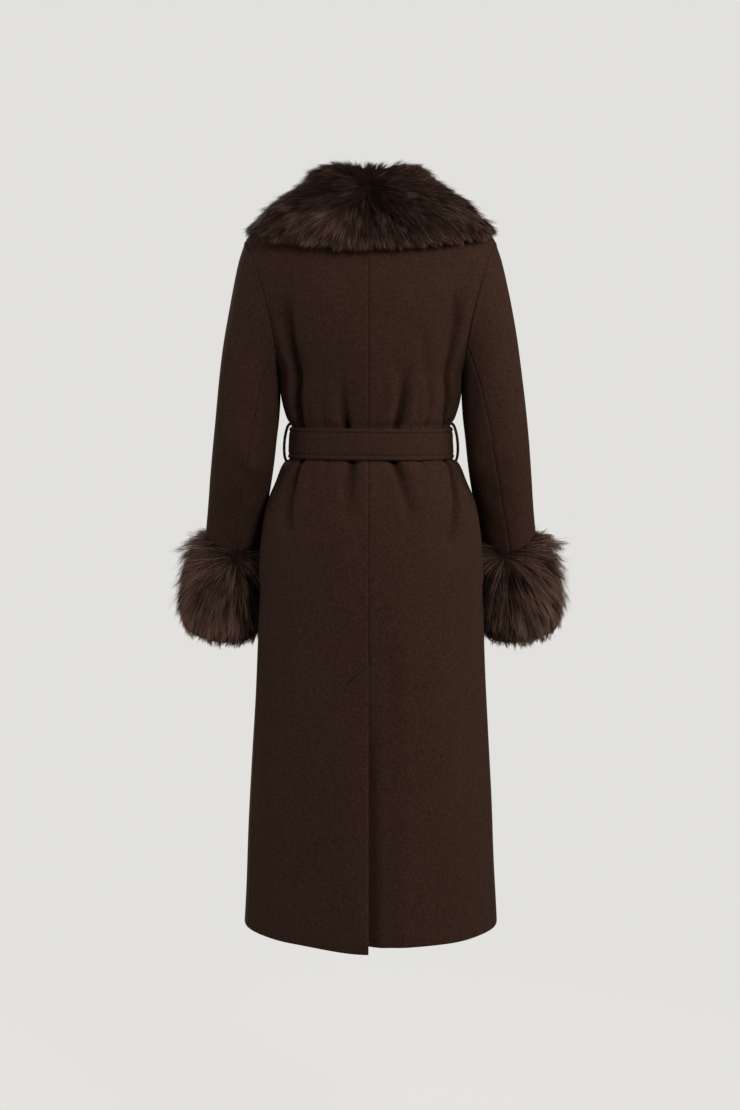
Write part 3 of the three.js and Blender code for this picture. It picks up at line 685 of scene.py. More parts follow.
CREASES = table(
    "place turn slant depth long wide",
    [
        (5.2, 96, 16, -3.0, 0.50, 22),
        (5.9, 118, -14, -2.6, 0.34, 20),
        (6.6, 92, 12, -3.2, 0.40, 24),
        (7.3, 112, -10, -2.4, 0.34, 20),
        (6.2, 60, -18, 1.6, 0.60, 24),
        (6.3, -96, 15, -2.6, 0.42, 22),
        (7.0, -70, -12, 1.8, 0.60, 26),
        (4.4, 140, 22, -2.4, 0.60, 16),
        (3.3, 128, 30, -2.2, 0.80, 12),
        (3.6, -130, -28, -2.2, 0.80, 12),
        (1.6, 64, 10, 1.5, 1.20, 22),
        (2.6, 20, -20, -1.4, 1.40, 16),
        (8.3, 40, 10, -1.6, 0.40, 26),
        (8.5, 120, -12, -1.8, 0.34, 24),
        (9.2, 10, 8, 1.2, 0.50, 30),
    ],
)


# %% Sleeve surface
def sleeve_point(place, turn):
    """Points on the wearer's left sleeve. Place counts its rings, turn is in degrees."""
    place, turn = np.broadcast_arrays(np.asarray(place, float), np.asarray(turn, float))
    ring = {name: read(SLEEVE, name, place, by="place") for name in SLEEVE}
    c, s, tilt = np.cos(np.radians(turn)), np.sin(np.radians(turn)), np.radians(ring["tilt"])
    half_x, half_z = (ring["out_x"] - ring["in_x"]) / 2, (ring["out_z"] - ring["in_z"]) / 2
    hollow = HOLE_HOLLOW * fade(place, 4, 0) * s * s
    x = (ring["out_x"] + ring["in_x"]) / 2 + half_x * c - hollow
    y = ring["fore"] + ring["deep"] * s * np.cos(tilt)
    z = (ring["out_z"] + ring["in_z"]) / 2 + half_z * c - ring["deep"] * s * np.sin(tilt)
    return np.stack([x, y, z], axis=-1)


def sleeve_middle(place):
    """The sleeve's middle line, from which its outside looks away."""
    return (sleeve_point(place, 0.0) + sleeve_point(place, 180.0)) / 2


def crease_at(place, turn):
    """How far the creases move a sleeve's cloth out."""
    total = np.zeros(np.broadcast(place, turn).shape)
    for at, centre, slant, depth, long, wide in zip(*CREASES.values()):
        off = (turn - centre + 180) % 360 - 180
        lean = (place - at - off / max(abs(slant), 1) * np.sign(slant) * 0.12) / long
        total += depth * bell(lean, 1) * bell(off, wide)
    return total * fade(place, 0, 1.5)


RINGS = np.concatenate(
    [np.linspace(0, 0.3, 4, endpoint=False), np.linspace(0.3, 9, 66), np.linspace(9.3, 13, 13)]
)
SLEEVE_EDGE = (0, 0.008, 0.018, 0.032)
LINING_OFF = 0.2  # the inner face lies this much closer than the cloth is thick
CREASE_SHARE = {"left": 1.0, "right": 0.86}


def sleeve_half(side, part):
    place = RINGS[:, None]
    seam = read(SLEEVE, "seam", RINGS, by="place")
    if part == "upper":
        turn, other = span(-seam, seam, shares(38, SLEEVE_EDGE)), "under"
    else:
        turn, other = span(seam, 360 - seam, shares(20, SLEEVE_EDGE)), "upper"
    grid = sleeve_point(place, turn)
    normal = outward(grid_normals(grid), grid, sleeve_middle(place))
    from_first = along(grid, 1)
    mirror = np.array([1 if side == "left" else -1, 1, 1])
    rise = crease_at(place, turn) * CREASE_SHARE[side] + ripple(grid * mirror)
    rise = rise + seam_dip(from_first) + seam_dip(from_first[:, -1:] - from_first)
    rise = rise + seam_dip(along(grid, 0), 1.0)
    outer = grid + normal * rise[..., None]
    inner = grid - normal * (CLOTH - LINING_OFF)
    name = f"sleeve_{side}_{part}"
    points, faces = shell(outer * mirror, inner * mirror)
    piece = put("cloth_" + name, points, faces, WOOL, "wool")
    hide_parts(name)
    other = f"cloth_sleeve_{side}_{other}"
    hang(name, grid)


for side in ("left", "right"):
    for part in ("upper", "under"):
        sleeve_half(side, part)

# %% [markdown]
# The belt is a long strip folded double, stitched near both edges and tied in front. Its section
# is a flat oval with a shallow dip along each stitch line, swept round the waist. Its stitches
# are separate short threads laid in the dips, as a sewing machine lays them. The knot and the
# two ends hang on the hidden front.


# %% Swept strips and stitches
def strip(sections):
    """Closed skin round a row of closed sections, with flat ends."""
    rows, count = sections.shape[:2]
    i, j = np.meshgrid(np.arange(rows - 1), np.arange(count), indexing="ij")
    a, b = i * count + j, i * count + (j + 1) % count
    faces = np.stack([a, b, b + count, a + count], -1).reshape(-1, 4)
    caps = []
    for start, flip in ((0, True), ((rows - 1) * count, False)):
        for k in range(count // 2 - 1):
            end = start + count - 1 - k
            quad = [start + k, start + k + 1, end - 1, end]
            caps.append(quad[::-1] if flip else quad)
    return sections.reshape(-1, 3), np.concatenate([faces, np.array(caps)])


def stitches(name, paths, length=2.5, pitch=3.4, width=0.55, height=0.34):
    """Short threads along paths. Each path is (points, normals), each thread four sections."""
    points = []
    rise = np.array([-0.25, height, height, -0.25])[:, None]
    half = np.array([0.5, 1, 1, 0.5])[:, None] * width / 2
    for line, normal in paths:
        run = np.linalg.norm(np.diff(line, axis=0), axis=-1)
        reach = np.concatenate([[0], np.cumsum(run)])
        middle = np.arange(pitch / 2, reach[-1], pitch)
        for ends in middle[:, None] + np.array([-0.5, -0.25, 0.25, 0.5]) * length:
            at = np.stack([np.interp(ends, reach, line[:, k]) for k in range(3)], -1)
            up = unit(np.stack([np.interp(ends, reach, normal[:, k]) for k in range(3)], -1))
            side = unit(np.cross(at[-1] - at[0], up)) * half
            points.append(np.stack([at + side, at + up * rise, at - side, at - up * 0.3], 1))
    plan = []
    for k in range(12):
        beside = k // 4 * 4 + (k + 1) % 4
        plan.append([k, beside, beside + 4, k + 4])
    plan += [[3, 2, 1, 0], [12, 13, 14, 15]]
    faces = np.arange(len(points))[:, None, None] * 16 + np.array(plan)
    points = np.array(points).reshape(-1, 3)
    put(name, points, faces.reshape(-1, 4), THREAD, "thread", smooth=False)
    print(f"{name}: {len(points) // 16} stitches")


# %% Belt band
BELT_MIDDLE, BELT_HALF, BELT_LIFT, BELT_CLOTH, KNOT_HALF = -379.4, 24.4, 0.6, 3.7, 29.0
BELT_SQUARE, STITCH_AT, STITCH_DEEP, STITCH_NARROW = 0.32, 17.6, 1.1, 1.5


def belt_section(turn, angle):
    """Points of the belt's surface. Angle runs round its section, 90 degrees outermost."""
    up = BELT_HALF * power(np.cos(angle), BELT_SQUARE)
    level = power(np.sin(angle), 0.62)
    off_stitch = np.abs(up) - STITCH_AT
    dip = 0.45 * bell(off_stitch - 3.4, 1.7) - STITCH_DEEP * bell(off_stitch, STITCH_NARROW)
    uneven = 0.4 * np.sin(np.radians(turn) * 9 + up / 9) * fade(np.abs(turn), 150, 120)
    pad = 0.6 * (0.35 * fade(np.abs(up), 16, 8) + uneven)
    out = BELT_LIFT + BELT_CLOTH / 2 * (1 + level) + (dip + pad) * (level > 0) * np.abs(level)
    point = on_body(BELT_MIDDLE + up, turn, out, folded=False)
    point[..., 2] += 0.9 * np.sin(np.radians(turn * 2 + 20))
    return point


knot_turn = float(turn_at(np.float64(BELT_MIDDLE), np.float64(KNOT_HALF + 0.5), False))
belt_turns = np.linspace(-knot_turn, knot_turn, 220)
# Rows across the belt's face, close together at the stitch lines, then its hidden inner side
levels = [0.99, 0.965, *np.arange(0.93, 0.68, -0.03), 0.65, 0.58, 0.4, 0.15]
upper = np.arccos(np.array(levels) ** (1 / BELT_SQUARE))
hidden = np.linspace(np.pi + 0.4, 2 * np.pi - 0.4, 10)
around = np.concatenate([[0], upper, np.pi - upper[::-1], [np.pi], hidden])
band = put("cloth_belt_band", *strip(belt_section(belt_turns[:, None], around)), WOOL, "wool")
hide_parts("belt_band")
face = BELT_MIDDLE + np.linspace(-BELT_HALF, BELT_HALF, 9)[:, None]
cut_face = on_body(face, belt_turns[None, :], BELT_LIFT + BELT_CLOTH, folded=False)
stitch_angle = np.arccos((STITCH_AT / BELT_HALF) ** (1 / BELT_SQUARE))
BELT_LINES = []
for angle in (stitch_angle, np.pi - stitch_angle):
    line = belt_section(belt_turns, np.full(len(belt_turns), angle))
    BELT_LINES.append((line, line * [1, 1, 0]))


# %% Knot
SIDES = [(KNOT_HALF, 19, 12), (22, 24, 22), (13, 26.5, 30)]
KNOT = table("x high deep", [(-x, *row) for x, *row in SIDES] + [(0, 27, 32)] + SIDES[::-1])
KNOT_Z, KNOT_BACK = -379.0, 97.8
x = np.linspace(-KNOT_HALF, KNOT_HALF, 45)[:, None]
across = np.radians(np.linspace(-90, 90, 33))[None, :]
high, deep = (read(KNOT, name, x, by="x") for name in ("high", "deep"))
lean = np.abs(x + 9 * np.sin(across)) / 15
wrap = fade(lean, 1.12, 0.86) * 3.2 - 1.6 * bell(lean - 1.15, 0.16)
pleats = 0.8 * np.sin(6.5 * across + x / 11) * fade(lean, 1.0, 1.3)
grip = deep * power(np.cos(across), 0.6) + (wrap + pleats - 2.4) * np.cos(across) ** 0.5
level = KNOT_Z + high * power(np.sin(across), 0.8)
outer = np.stack([x + 0 * across, -KNOT_BACK - grip, level], -1)
flat_back = np.stack([x + 0 * across, -KNOT_BACK + 0 * level, KNOT_Z + (level - KNOT_Z) * 0.98], -1)
knot = put("cloth_belt_knot", *shell(outer, flat_back), WOOL, "wool")
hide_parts("belt_knot")
print("knot deep:", float(grip.max().round(1)))


# %% Belt ends and loops
TAIL_WIDE, TAIL_CLOTH, TAIL_STITCH = 50, 4, 0.37  # the stitches lie at a share of the width
TAIL_EDGE = np.array([0.46, 0.485, 0.5])


def tail(side, stations):
    rows = table("z x lift", stations)
    top, bottom = stations[0][0], stations[-1][0]
    z = np.concatenate([np.linspace(top, bottom + 3, 56), [bottom]])[:, None]
    share = np.concatenate([-TAIL_EDGE[::-1], np.linspace(-0.42, 0.42, 15), TAIL_EDGE])[None, :]
    dip = 0.5 * bell(np.abs(share) - TAIL_STITCH, 0.03)
    thick = TAIL_CLOTH * (0.45 + 0.55 * (1 - np.abs(2 * share) ** 8)) - dip
    wave = 0.7 * (1 + np.sin(z / 31 + share * 2)) * fade(z, top, top - 60)
    lift = read(rows, "lift", z) + wave
    turn = turn_at(z, read(rows, "x", z) + share * TAIL_WIDE, False)
    grid = on_body(z, turn, lift + thick)
    piece = put(f"cloth_belt_tail_{side}", *shell(grid, on_body(z, turn, lift)), WOOL, "wool")
    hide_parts(f"belt_tail_{side}")
    hang(f"belt_tail_{side}", grid)
    z = z[:, 0]
    for place in (-TAIL_STITCH, TAIL_STITCH):
        turn = turn_at(z, read(rows, "x", z) + place * TAIL_WIDE, False)
        line = on_body(z, turn, lift[:, 0] + 3.4)
        BELT_LINES.append((line, line * [1, 1, 0]))


tail("left", [(-406.6, 4, 5.9), (-560, 16, 5.9), (-820, 30, 5.9)])
tail("right", [(-406.6, -4, 0.9), (-560, -18, 0.9), (-790, -34, 0.9)])
LOOP_TURN, LOOP_WIDE, LOOP_CLOTH, LOOP_TOP, LOOP_BOTTOM = 87, 4.6, 4.6, -351.5, -407
LOOP_GAP, LOOP_BOW, LOOP_WINDS = 1, 6.4, 30


def belt_loop(side, sign):
    t = np.linspace(0, 1, 110)[:, None]
    angle = np.radians(np.arange(0, 360, 36))[None, :]
    share, level = 0.5 * power(np.cos(angle), 0.6), power(np.sin(angle), 0.75)

    def strand(t):
        turn = LOOP_TURN - share * LOOP_WIDE
        top, bottom = on_body(LOOP_TOP, turn), on_body(LOOP_BOTTOM, turn)
        point = top + (bottom - top) * t[..., None]
        bow = LOOP_GAP + LOOP_BOW * np.sin(np.pi * np.clip(t, 0, 1)) ** 0.4
        return point + bow[..., None] * np.array([1, 0, 0])

    way = strand(np.clip(t + 0.008, 0, 1)) - strand(np.clip(t - 0.008, 0, 1))
    out = unit(np.stack([-way[..., 2], 0 * way[..., 0], way[..., 0]], -1))
    wound = 1 + 0.12 * np.sin(t * 2 * np.pi * LOOP_WINDS)
    offset = LOOP_CLOTH / 2 * (1 + level * wound)
    points, faces = strip((strand(t) + out * offset[..., None]) * [sign, 1, 1])
    piece = put(f"thread_belt_loop_{side}", points, faces, THREAD, "thread")
    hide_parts(f"belt_loop_{side}")


belt_loop("left", 1)
belt_loop("right", -1)
stitches("stitches_belt", BELT_LINES)

# %% Stitching that holds the top of the vent, slanting from the edge to the under panel's seam
z, x = np.linspace((VENT_TOP + 1, 5.2), (-748, 39), 24).T
line = on_body(z, turn_at(z, x, True), 0.1)
stitches("stitches_vent", [(line, line * [1, 1, 0])], length=2.6, pitch=3.0, width=1.3)

# %% [markdown]
# The collar and cuffs are long, soft fox-like fur on a pelt. Such a pelt grows dense hair that
# lies along its flow and gathers in pointed tufts. Blender's hair curves would give it, but
# they don't leave the file as a mesh, so each hair here is a thin tapered ribbon of three or
# five triangles. Seeded tufts draw their own hairs together towards the tip, and a few longer
# guard hairs stand out of them. An opaque pelt lies under them.

# %% Fur colours
FUR_STOPS = [
    (0.0, (0.0080, 0.0041, 0.0028)),
    (0.45, (0.0280, 0.0140, 0.0098)),
    (0.78, (0.0730, 0.0400, 0.0285)),
    (1.0, (0.1800, 0.1050, 0.0765)),
]


def fur_group():
    """Fur colour from a hair's own tone, darker at its root: partly the darker underfur, partly
    painted shade deep in the fur.
    """
    group, given, result = new_group(
        "Fur colour",
        [("Tone", "NodeSocketFloat", 0.5), ("Reach", "NodeSocketFloat", 0.5)],
        [("Color", "NodeSocketColor")],
    )
    ramp = add(group, "ShaderNodeValToRGB", [("Fac", given.outputs["Tone"])])
    stops = ramp.color_ramp.elements
    stops[0].color, stops[1].color = (*FUR_STOPS[0][1], 1), (*FUR_STOPS[-1][1], 1)
    for position, colour in FUR_STOPS[1:-1]:
        stops.new(position).color = (*colour, 1)
    # Painted shade deep in the fur over the underfur's own darker colour: roots darker, tips
    # lighter
    depths = [("Value", given.outputs["Reach"]), ("To Min", 0.30), ("To Max", 1.20)]
    depth = add(group, "ShaderNodeMapRange", depths)
    lit = add(group, "ShaderNodeVectorMath", [(0, ramp.outputs["Color"])], operation="SCALE")
    group.links.new(depth.outputs["Result"], lit.inputs["Scale"])
    group.links.new(lit.outputs[0], result.inputs["Color"])
    return group


FUR = fur_group()


def fur_material(name, rough):
    """A fur material with its shader, and the colour group whose inputs are still open."""
    result, tree, shader = material(name)
    colour = add(tree, "ShaderNodeGroup", node_tree=FUR)
    tree.links.new(colour.outputs["Color"], shader.inputs["Base Color"])
    shader.inputs["Roughness"].default_value = rough
    shader.inputs["Specular IOR Level"].default_value = 0.04
    shader.inputs["Specular Tint"].default_value = (0.9, 0.68, 0.56, 1)
    return result, tree, colour


HAIR, tree, colour = fur_material("Fur hair", 0.5)
for socket in ("Tone", "Reach"):
    value = add(tree, "ShaderNodeAttribute", attribute_name=socket.lower())
    tree.links.new(value.outputs["Fac"], colour.inputs[socket])
PELT, tree, colour = fur_material("Fur pelt", 0.9)
place = add(tree, "ShaderNodeTexCoord").outputs["Object"]
patch = add(tree, "ShaderNodeTexNoise", [("Vector", place), ("Scale", 60.0), ("Detail", 3.0)])
tree.links.new(weighed(tree, [(patch.outputs["Fac"], 0.5)]), colour.inputs["Tone"])
# The pelt takes a root's colour: its own dark underfur and painted shade under the hair
colour.inputs["Reach"].default_value = 0.2
print("fur materials:", HAIR.name, PELT.name)


# %% Hair paths and ribbons
def sample(grid, i, j):
    i0 = np.clip(np.floor(i).astype(int), 0, grid.shape[0] - 2)
    j0 = np.clip(np.floor(j).astype(int), 0, grid.shape[1] - 2)
    a, b = (i - i0)[:, None], (j - j0)[:, None]
    near = grid[i0, j0] * (1 - b) + grid[i0, j0 + 1] * b
    far = grid[i0 + 1, j0] * (1 - b) + grid[i0 + 1, j0 + 1] * b
    return near * (1 - a) + far * a


LONG_STEPS = np.array([0, 0.36, 0.7, 1.0])
SHORT_STEPS = np.array([0, 0.5, 1.0])


def hair_paths(root, normal, flow, length, lift, droop, steps):
    """Points along each hair: it rises off the pelt and then lies along the flow."""
    t = steps[None, :, None]
    rise = (lift[:, None, None] * (t - 0.55 * t * t)) * normal[:, None, :]
    path = root[:, None, :] + length[:, None, None] * (flow[:, None, :] * t + rise)
    path[..., 2] -= length[:, None] * droop * steps[None, :] ** 2
    return path


def ribbons(path, up, wide, steps, rng):
    """Tapered ribbons along the paths. Each hair has two points a step and one at its tip."""
    count, last = len(path), len(steps) - 1
    face = unit(up[:, None] + rng.normal(0, 0.42, (count, 1, 3)))
    across = unit(np.cross(unit(np.gradient(path, axis=1)), face))
    taper = 1 - 0.45 * steps[None, :-1, None] ** 2
    half = wide / 2 * taper * rng.uniform(0.6, 1.4, (count, 1, 1)) * across[:, :-1]
    pairs = [path[:, :-1] - half, path[:, :-1] + half, path[:, -1:]]
    plan = [[k, k + last, k + last + 1] for k in range(last - 1)]
    plan += [[k, k + last + 1, k + 1] for k in range(last - 1)]
    plan.append([last - 1, 2 * last - 1, 2 * last])
    each = 2 * last + 1
    faces = ((np.arange(count) * each)[:, None, None] + np.array(plan)[None]).reshape(-1, 3)
    return np.concatenate(pairs, axis=1).reshape(-1, 3), faces


# %% Tufts of hair on a grid
AT, UP, FLOW, LENGTH, LIFT, STEP_I, STEP_J = slice(0, 3), slice(3, 6), slice(6, 9), 9, 10, 11, 12
GUARD_SHARE, GUARD_LONG, PALE_SHARE, PALE_TONE = 0.09, 1.4, 0.13, 0.3


def spacing(grid, axis):
    return np.linalg.norm(np.gradient(grid, axis=axis), axis=-1)


def grow(
    name, surface, normal, flow, tufts, per_tuft, length, lift, seed, patch, weight=1.0, clump=0.66,
    wide=0.46, droop=0.05, tuft_size=2.6, scatter=0.15, tone=0.40, steps=SHORT_STEPS,
):
    """One mesh of ribbons. Length and lift are grids like the surface, in mm and as a slope."""
    rng = np.random.default_rng(seed)
    weight = weight + 0 * length
    d1, d2 = surface[1:, 1:] - surface[:-1, :-1], surface[1:, :-1] - surface[:-1, 1:]
    area = np.linalg.norm(np.cross(d1, d2), axis=-1) * (weight[1:, 1:] + weight[:-1, :-1]) / 2
    share = np.cumsum(area.ravel()) / area.sum()
    cell = np.searchsorted(share, rng.random(tufts)).clip(0, area.size - 1)
    gi = cell // area.shape[1] + rng.random(tufts)
    gj = cell % area.shape[1] + rng.random(tufts)
    numbers = np.stack([length, lift, spacing(surface, 0), spacing(surface, 1)], axis=-1)
    stack = np.concatenate([surface, normal, flow, numbers], axis=-1)
    lead = sample(stack, gi, gj)
    size = tuft_size * rng.uniform(0.6, 1.5, tufts)
    owner = np.repeat(np.arange(tufts), per_tuft)
    count = len(owner)
    off = rng.normal(0, 1, (count, 2)) * size[owner, None]
    off = off / np.maximum(lead[owner][:, [STEP_I, STEP_J]], 0.3)
    ci = np.clip(gi[owner] + off[:, 0], 0, surface.shape[0] - 1.001)
    cj = np.clip(gj[owner] + off[:, 1], 0, surface.shape[1] - 1.001)
    own = sample(stack, ci, cj)

    # A tuft's hairs share its turn and length, and bend towards its leading hair
    tuft_turn = rng.normal(0, scatter, (tufts, 3))
    tuft_long = rng.uniform(0.74, 1.24, tufts)
    lead_flow, lead_long = unit(unit(lead[:, FLOW]) + tuft_turn), lead[:, LENGTH] * tuft_long
    lead_lift = lead[:, LIFT] * rng.uniform(0.75, 1.3, tufts)
    lead_path = hair_paths(
        lead[:, AT], unit(lead[:, UP]), lead_flow, lead_long, lead_lift, droop, steps
    )
    hair_flow = unit(unit(own[:, FLOW]) + (tuft_turn[owner] + rng.normal(0, 0.10, (count, 3))))
    hair_long = own[:, LENGTH] * tuft_long[owner] * rng.uniform(0.72, 1.12, count)
    hair_long = hair_long * np.where(rng.random(count) < GUARD_SHARE, GUARD_LONG, 1)
    hair_lift = own[:, LIFT] * rng.uniform(0.6, 1.4, count)
    path = hair_paths(own[:, AT], unit(own[:, UP]), hair_flow, hair_long, hair_lift, droop, steps)
    pull = (clump * rng.uniform(0.55, 1.1, count).clip(0, 1))[:, None] * steps[None, :] ** 1.15
    path = path + (lead_path[owner] - path) * pull[..., None]
    points, faces = ribbons(path, own[:, UP], wide, steps, rng)
    piece = put(name, points, faces, HAIR, "fur")

    shade = tone + rng.normal(0, 0.12, tufts)[owner] + rng.normal(0, 0.18, count)
    shade = shade + PALE_TONE * (rng.random(count) < PALE_SHARE) + patch(own[:, AT])
    reach = np.concatenate([steps[:-1], steps])
    mark(piece, "tone", np.repeat(shade.clip(0, 1), len(reach)))
    mark(piece, "reach", np.tile(reach, count))
    print(f"{name}: {count} hairs, {len(faces)} triangles")


def flow_from(centre, surface, normal, pull):
    """Directions along the surface, away from a whorl, with an added steady pull."""
    away = unit(surface - np.array(centre)) + np.array(pull)
    away = away - normal * np.sum(away * normal, axis=-1, keepdims=True)
    return unit(away)


# %% [markdown]
# The collar is one wide pelt, folded over at the neck. It stands up round the neck, rolls over
# and lies on the shoulders, then runs down both front edges and tapers to the belt. Its hair
# starts at a whorl high on the back and flows out from it all round, up and over the roll too.

# %% Collar sizes
COLLAR_ROWS = [
    (0, 0, 0, -74, 57, 42, 26, 4),
    (25, 0, 25, -70, 60, 42, 25, 4),
    (50, 0, 47, -62, 58, 40, 22, 5),
    (72, 0, 68, -56, 53, 35, 17, 5),
    (90, 0, 88, -50, 50, 31, 13, 6),
    (112, -3, 108, -53, 46, 31, 14, 6),
    (140, -16, 124, -84, 42, 31, 15, 5),
    (158, -44, 133, -120, 32, 29, 15, 4),
    (168, -84, 139, -154, 24, 27, 15, 4),
    (174, -134, 144, -187, 18, 25, 14, 4),
]
LAPEL_OVER = [
    (179.5, -184, 150, -218, 14, 23, 13, 3),
    (187, -234, 158, -250, 11, 21, 12, 3),
    (195, -280, 171, -282, 9, 18, 10, 2),
    (202, -318, 190, -312, 7, 13, 8, 1),
    (205, -336, 201, -334, 5, 8, 6, 1),
]
LAPEL_UNDER = [
    (175.6, -184, 150, -214, 12, 22, 12, 3),
    (170.5, -232, 157, -246, 8, 17, 10, 3),
    (165, -270, 162, -272, 4, 7, 5, 1),
]
COLUMNS = "in_turn in_z out_turn out_z rise loft lip reach"
NECK_LIFT, LEAF_LIFT, STAND = 0.6, 2.4, 2.5


def collar_side(lapel, side, per_row=7):
    """Collar sections from the centre back to the end of one lapel: under and over faces."""
    rows = table(COLUMNS, COLLAR_ROWS + lapel)
    rows["place"] = np.arange(len(rows["rise"]), dtype=float)
    place = np.linspace(0, rows["place"][-1], int(rows["place"][-1]) * per_row + 1)[:, None]
    row = {name: read(rows, name, place, by="place") for name in COLUMNS.split()}
    u = np.linspace(0, 1, 25)[None, :]
    z = row["in_z"] + (row["out_z"] - row["in_z"]) * u
    turn = side * (row["in_turn"] + (row["out_turn"] - row["in_turn"]) * u)
    across = on_body(z, turn + 1) - on_body(z, turn - 1)
    down = on_body(z - 2, turn) - on_body(z + 2, turn)
    normal = -unit(np.cross(down, across))
    lift = NECK_LIFT + (LEAF_LIFT - NECK_LIFT) * fade(u, 0, 0.35)
    under = on_body(z, turn) + normal * lift[..., None]
    outward_way = unit(under[:, -1:] - under[:, -2:-1])
    fur = row["loft"] * fade(u, -0.3, 0.55) + (row["lip"] - row["loft"]) * fade(u, 0.5, 1)
    reach = (row["reach"] * fade(u, 0.6, 1))[..., None]
    over = under + normal * fur[..., None] + outward_way * reach
    over[..., 2] += row["rise"] * (1 - u) ** STAND
    return under, over, place + 0 * u


right_under, right_over, right_place = collar_side(LAPEL_OVER, -1)
left_under, left_over, left_place = collar_side(LAPEL_UNDER, 1)
UNDER = np.concatenate([right_under[::-1], left_under[1:]])
OVER = np.concatenate([right_over[::-1], left_over[1:]])
PLACE = np.concatenate([-right_place[::-1], left_place[1:]])
print("collar sections:", len(OVER))


# %% Collar pelt
def smooth(grid, passes):
    """Each row's point moves halfway towards the middle of its two neighbours."""
    for _ in range(passes):
        grid = np.concatenate([grid[:1], (grid[:-2] + 2 * grid[1:-1] + grid[2:]) / 4, grid[-1:]])
    return grid


def shoulder(section):
    """1 on the shoulders' sections and 0 away from them."""
    return bell(np.abs(section) - 4, 1.6)


WALL_ROWS, LIP_ROWS = 7, 4
leaf = np.linspace(0, 1, UNDER.shape[1])[None, :, None]
full = 0.66 + 0.2 * fade(leaf, 0.3, 0) - 0.08 * shoulder(PLACE[:, :1])[..., None]
low = UNDER + (OVER - UNDER) * full
wall_share = np.linspace(0, 0.86, WALL_ROWS)[None, :, None]
neck_wall = UNDER[:, :1] + (low[:, :1] - UNDER[:, :1]) * wall_share
lip_share = np.linspace(0.25, 1, LIP_ROWS)[None, :, None]
lip_wall = low[:, -1:] + (UNDER[:, -1:] - low[:, -1:]) * lip_share
pelt = np.concatenate([neck_wall, low, lip_wall], axis=1)
pelt = smooth(smooth(pelt.swapaxes(0, 1), 4).swapaxes(0, 1), 3)
walls = np.repeat(UNDER[:, :1], WALL_ROWS, 1), UNDER, np.repeat(UNDER[:, -1:], LIP_ROWS, 1)
inner = np.concatenate(walls, axis=1)
pelt_normal = outward(grid_normals(pelt), pelt, inner - [0, 0, 8])
# The inner face keeps a hair's breadth from the pelt, so that no face has zero size
points, faces = shell(pelt, inner * 0.999 + pelt * 0.001)
pelt_piece = put("fur_collar_pelt", points, faces, PELT, "fur")
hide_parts("fur_collar")

# %% Collar hair
WHORL, COLLAR_HAIR, PER_TUFT, BACK_SECTIONS = (8.0, 118.0, 27.0), 27, 24, 3.4
fall = -0.16 - 0.95 * fade(np.abs(pelt[..., 0]), 95, 195)
flow = flow_from(WHORL, pelt, pelt_normal, np.stack([0 * fall, 0 * fall, fall], -1))
column = np.arange(pelt.shape[1])[None, :] + 0 * pelt[..., 0]
section = np.concatenate([PLACE[:, :1]] * pelt.shape[1], axis=1)
hair_length = COLLAR_HAIR * (1 - 0.45 * fade(np.abs(section), 9, 14))
hair_length *= (0.7 + 0.3 * fade(column, 3, 12)) * (1 - 0.6 * fade(column, 22, 34))
hair_length *= 1 - 0.4 * bell(pelt[..., 0] - 4, 22) * fade(column, 16, 6)
hair_lift = 0.40 - 0.14 * fade(column, 12, 30) + 0.16 * fade(column, 12, 5)
hair_lift *= 1 - 0.35 * shoulder(section)
inside = 0.45 + 0.55 * fade(column, 1, 7)
PARTS = [
    ("right", section < -BACK_SECTIONS, 2050),
    ("back", np.abs(section) <= BACK_SECTIONS, 2550),
    ("left", section > BACK_SECTIONS, 1850),
]


def collar_patch(points):
    """Lighter and darker areas of the pelt, over soft unevenness."""
    x, y, z = points.T
    # The lower fringe is lighter: partly its paler tips, partly painted light against the shade at
    # the fringe
    light = 0.24 * fade(z, -40, -66) + 0.4 * bell(x - 74, 42) * bell(z + 26, 22)
    dark = 0.2 * bell(x + 5, 62) * bell(z - 8, 34) + 0.3 * bell(x - 84, 26) * bell(z - 6, 17)
    uneven = 0.07 * np.sin(x / 19 + 1.3) * np.sin(z / 15 + y / 23) + 0.05 * np.sin(x / 9 - z / 12)
    shoulder_light = 0.14 * bell(x + 168, 40) * bell(z + 24, 34)
    return (light - dark) * fade(y, 0, 60) + shoulder_light + uneven


for part, chosen, tufts in PARTS:
    rows = np.nonzero(chosen[:, 0])[0]
    cut = slice(max(rows[0] - 1, 0), rows[-1] + 2)
    grow(
        f"fur_collar_{part}", pelt[cut], pelt_normal[cut], flow[cut], tufts, PER_TUFT,
        hair_length[cut], hair_lift[cut], len(part) * 7, collar_patch, weight=inside[cut],
    )

# %% [markdown]
# Each cuff is a short tube of longer fur, sewn on above the sleeve's end. The hair starts along a
# narrow line, stands away from the sleeve and falls past its end in long pointed tufts. The side
# towards the skirt is pressed flatter. The same sizes as the solid's set how thick it is.

# %% Cuff sizes and surface
CUFF = table(
    "place out in deep",
    [(9, 13, 8, 14), (10, 34, 17, 27), (11, 43, 20, 31), (12, 50, 22, 35), (13, 43, 18, 30)],
)
CUFF_TOP, CUFF_LONG, CUFF_START = 9, 4, 0.12
CUFF_DROP = np.array([0.0, -3.0, -3.0])
CUFF_WHORL, CUFF_PULL, CUFF_HAIR = (214.0, 0.0, -562.0), (0.0, 0.0, -0.3), 50


def ring_normals(grid, centre):
    """Normals of a tube whose last column repeats its first."""
    normal = outward(grid_normals(grid[:, :-1], round_=True), grid[:, :-1], centre)
    return np.concatenate([normal, normal[:, :1]], axis=1)


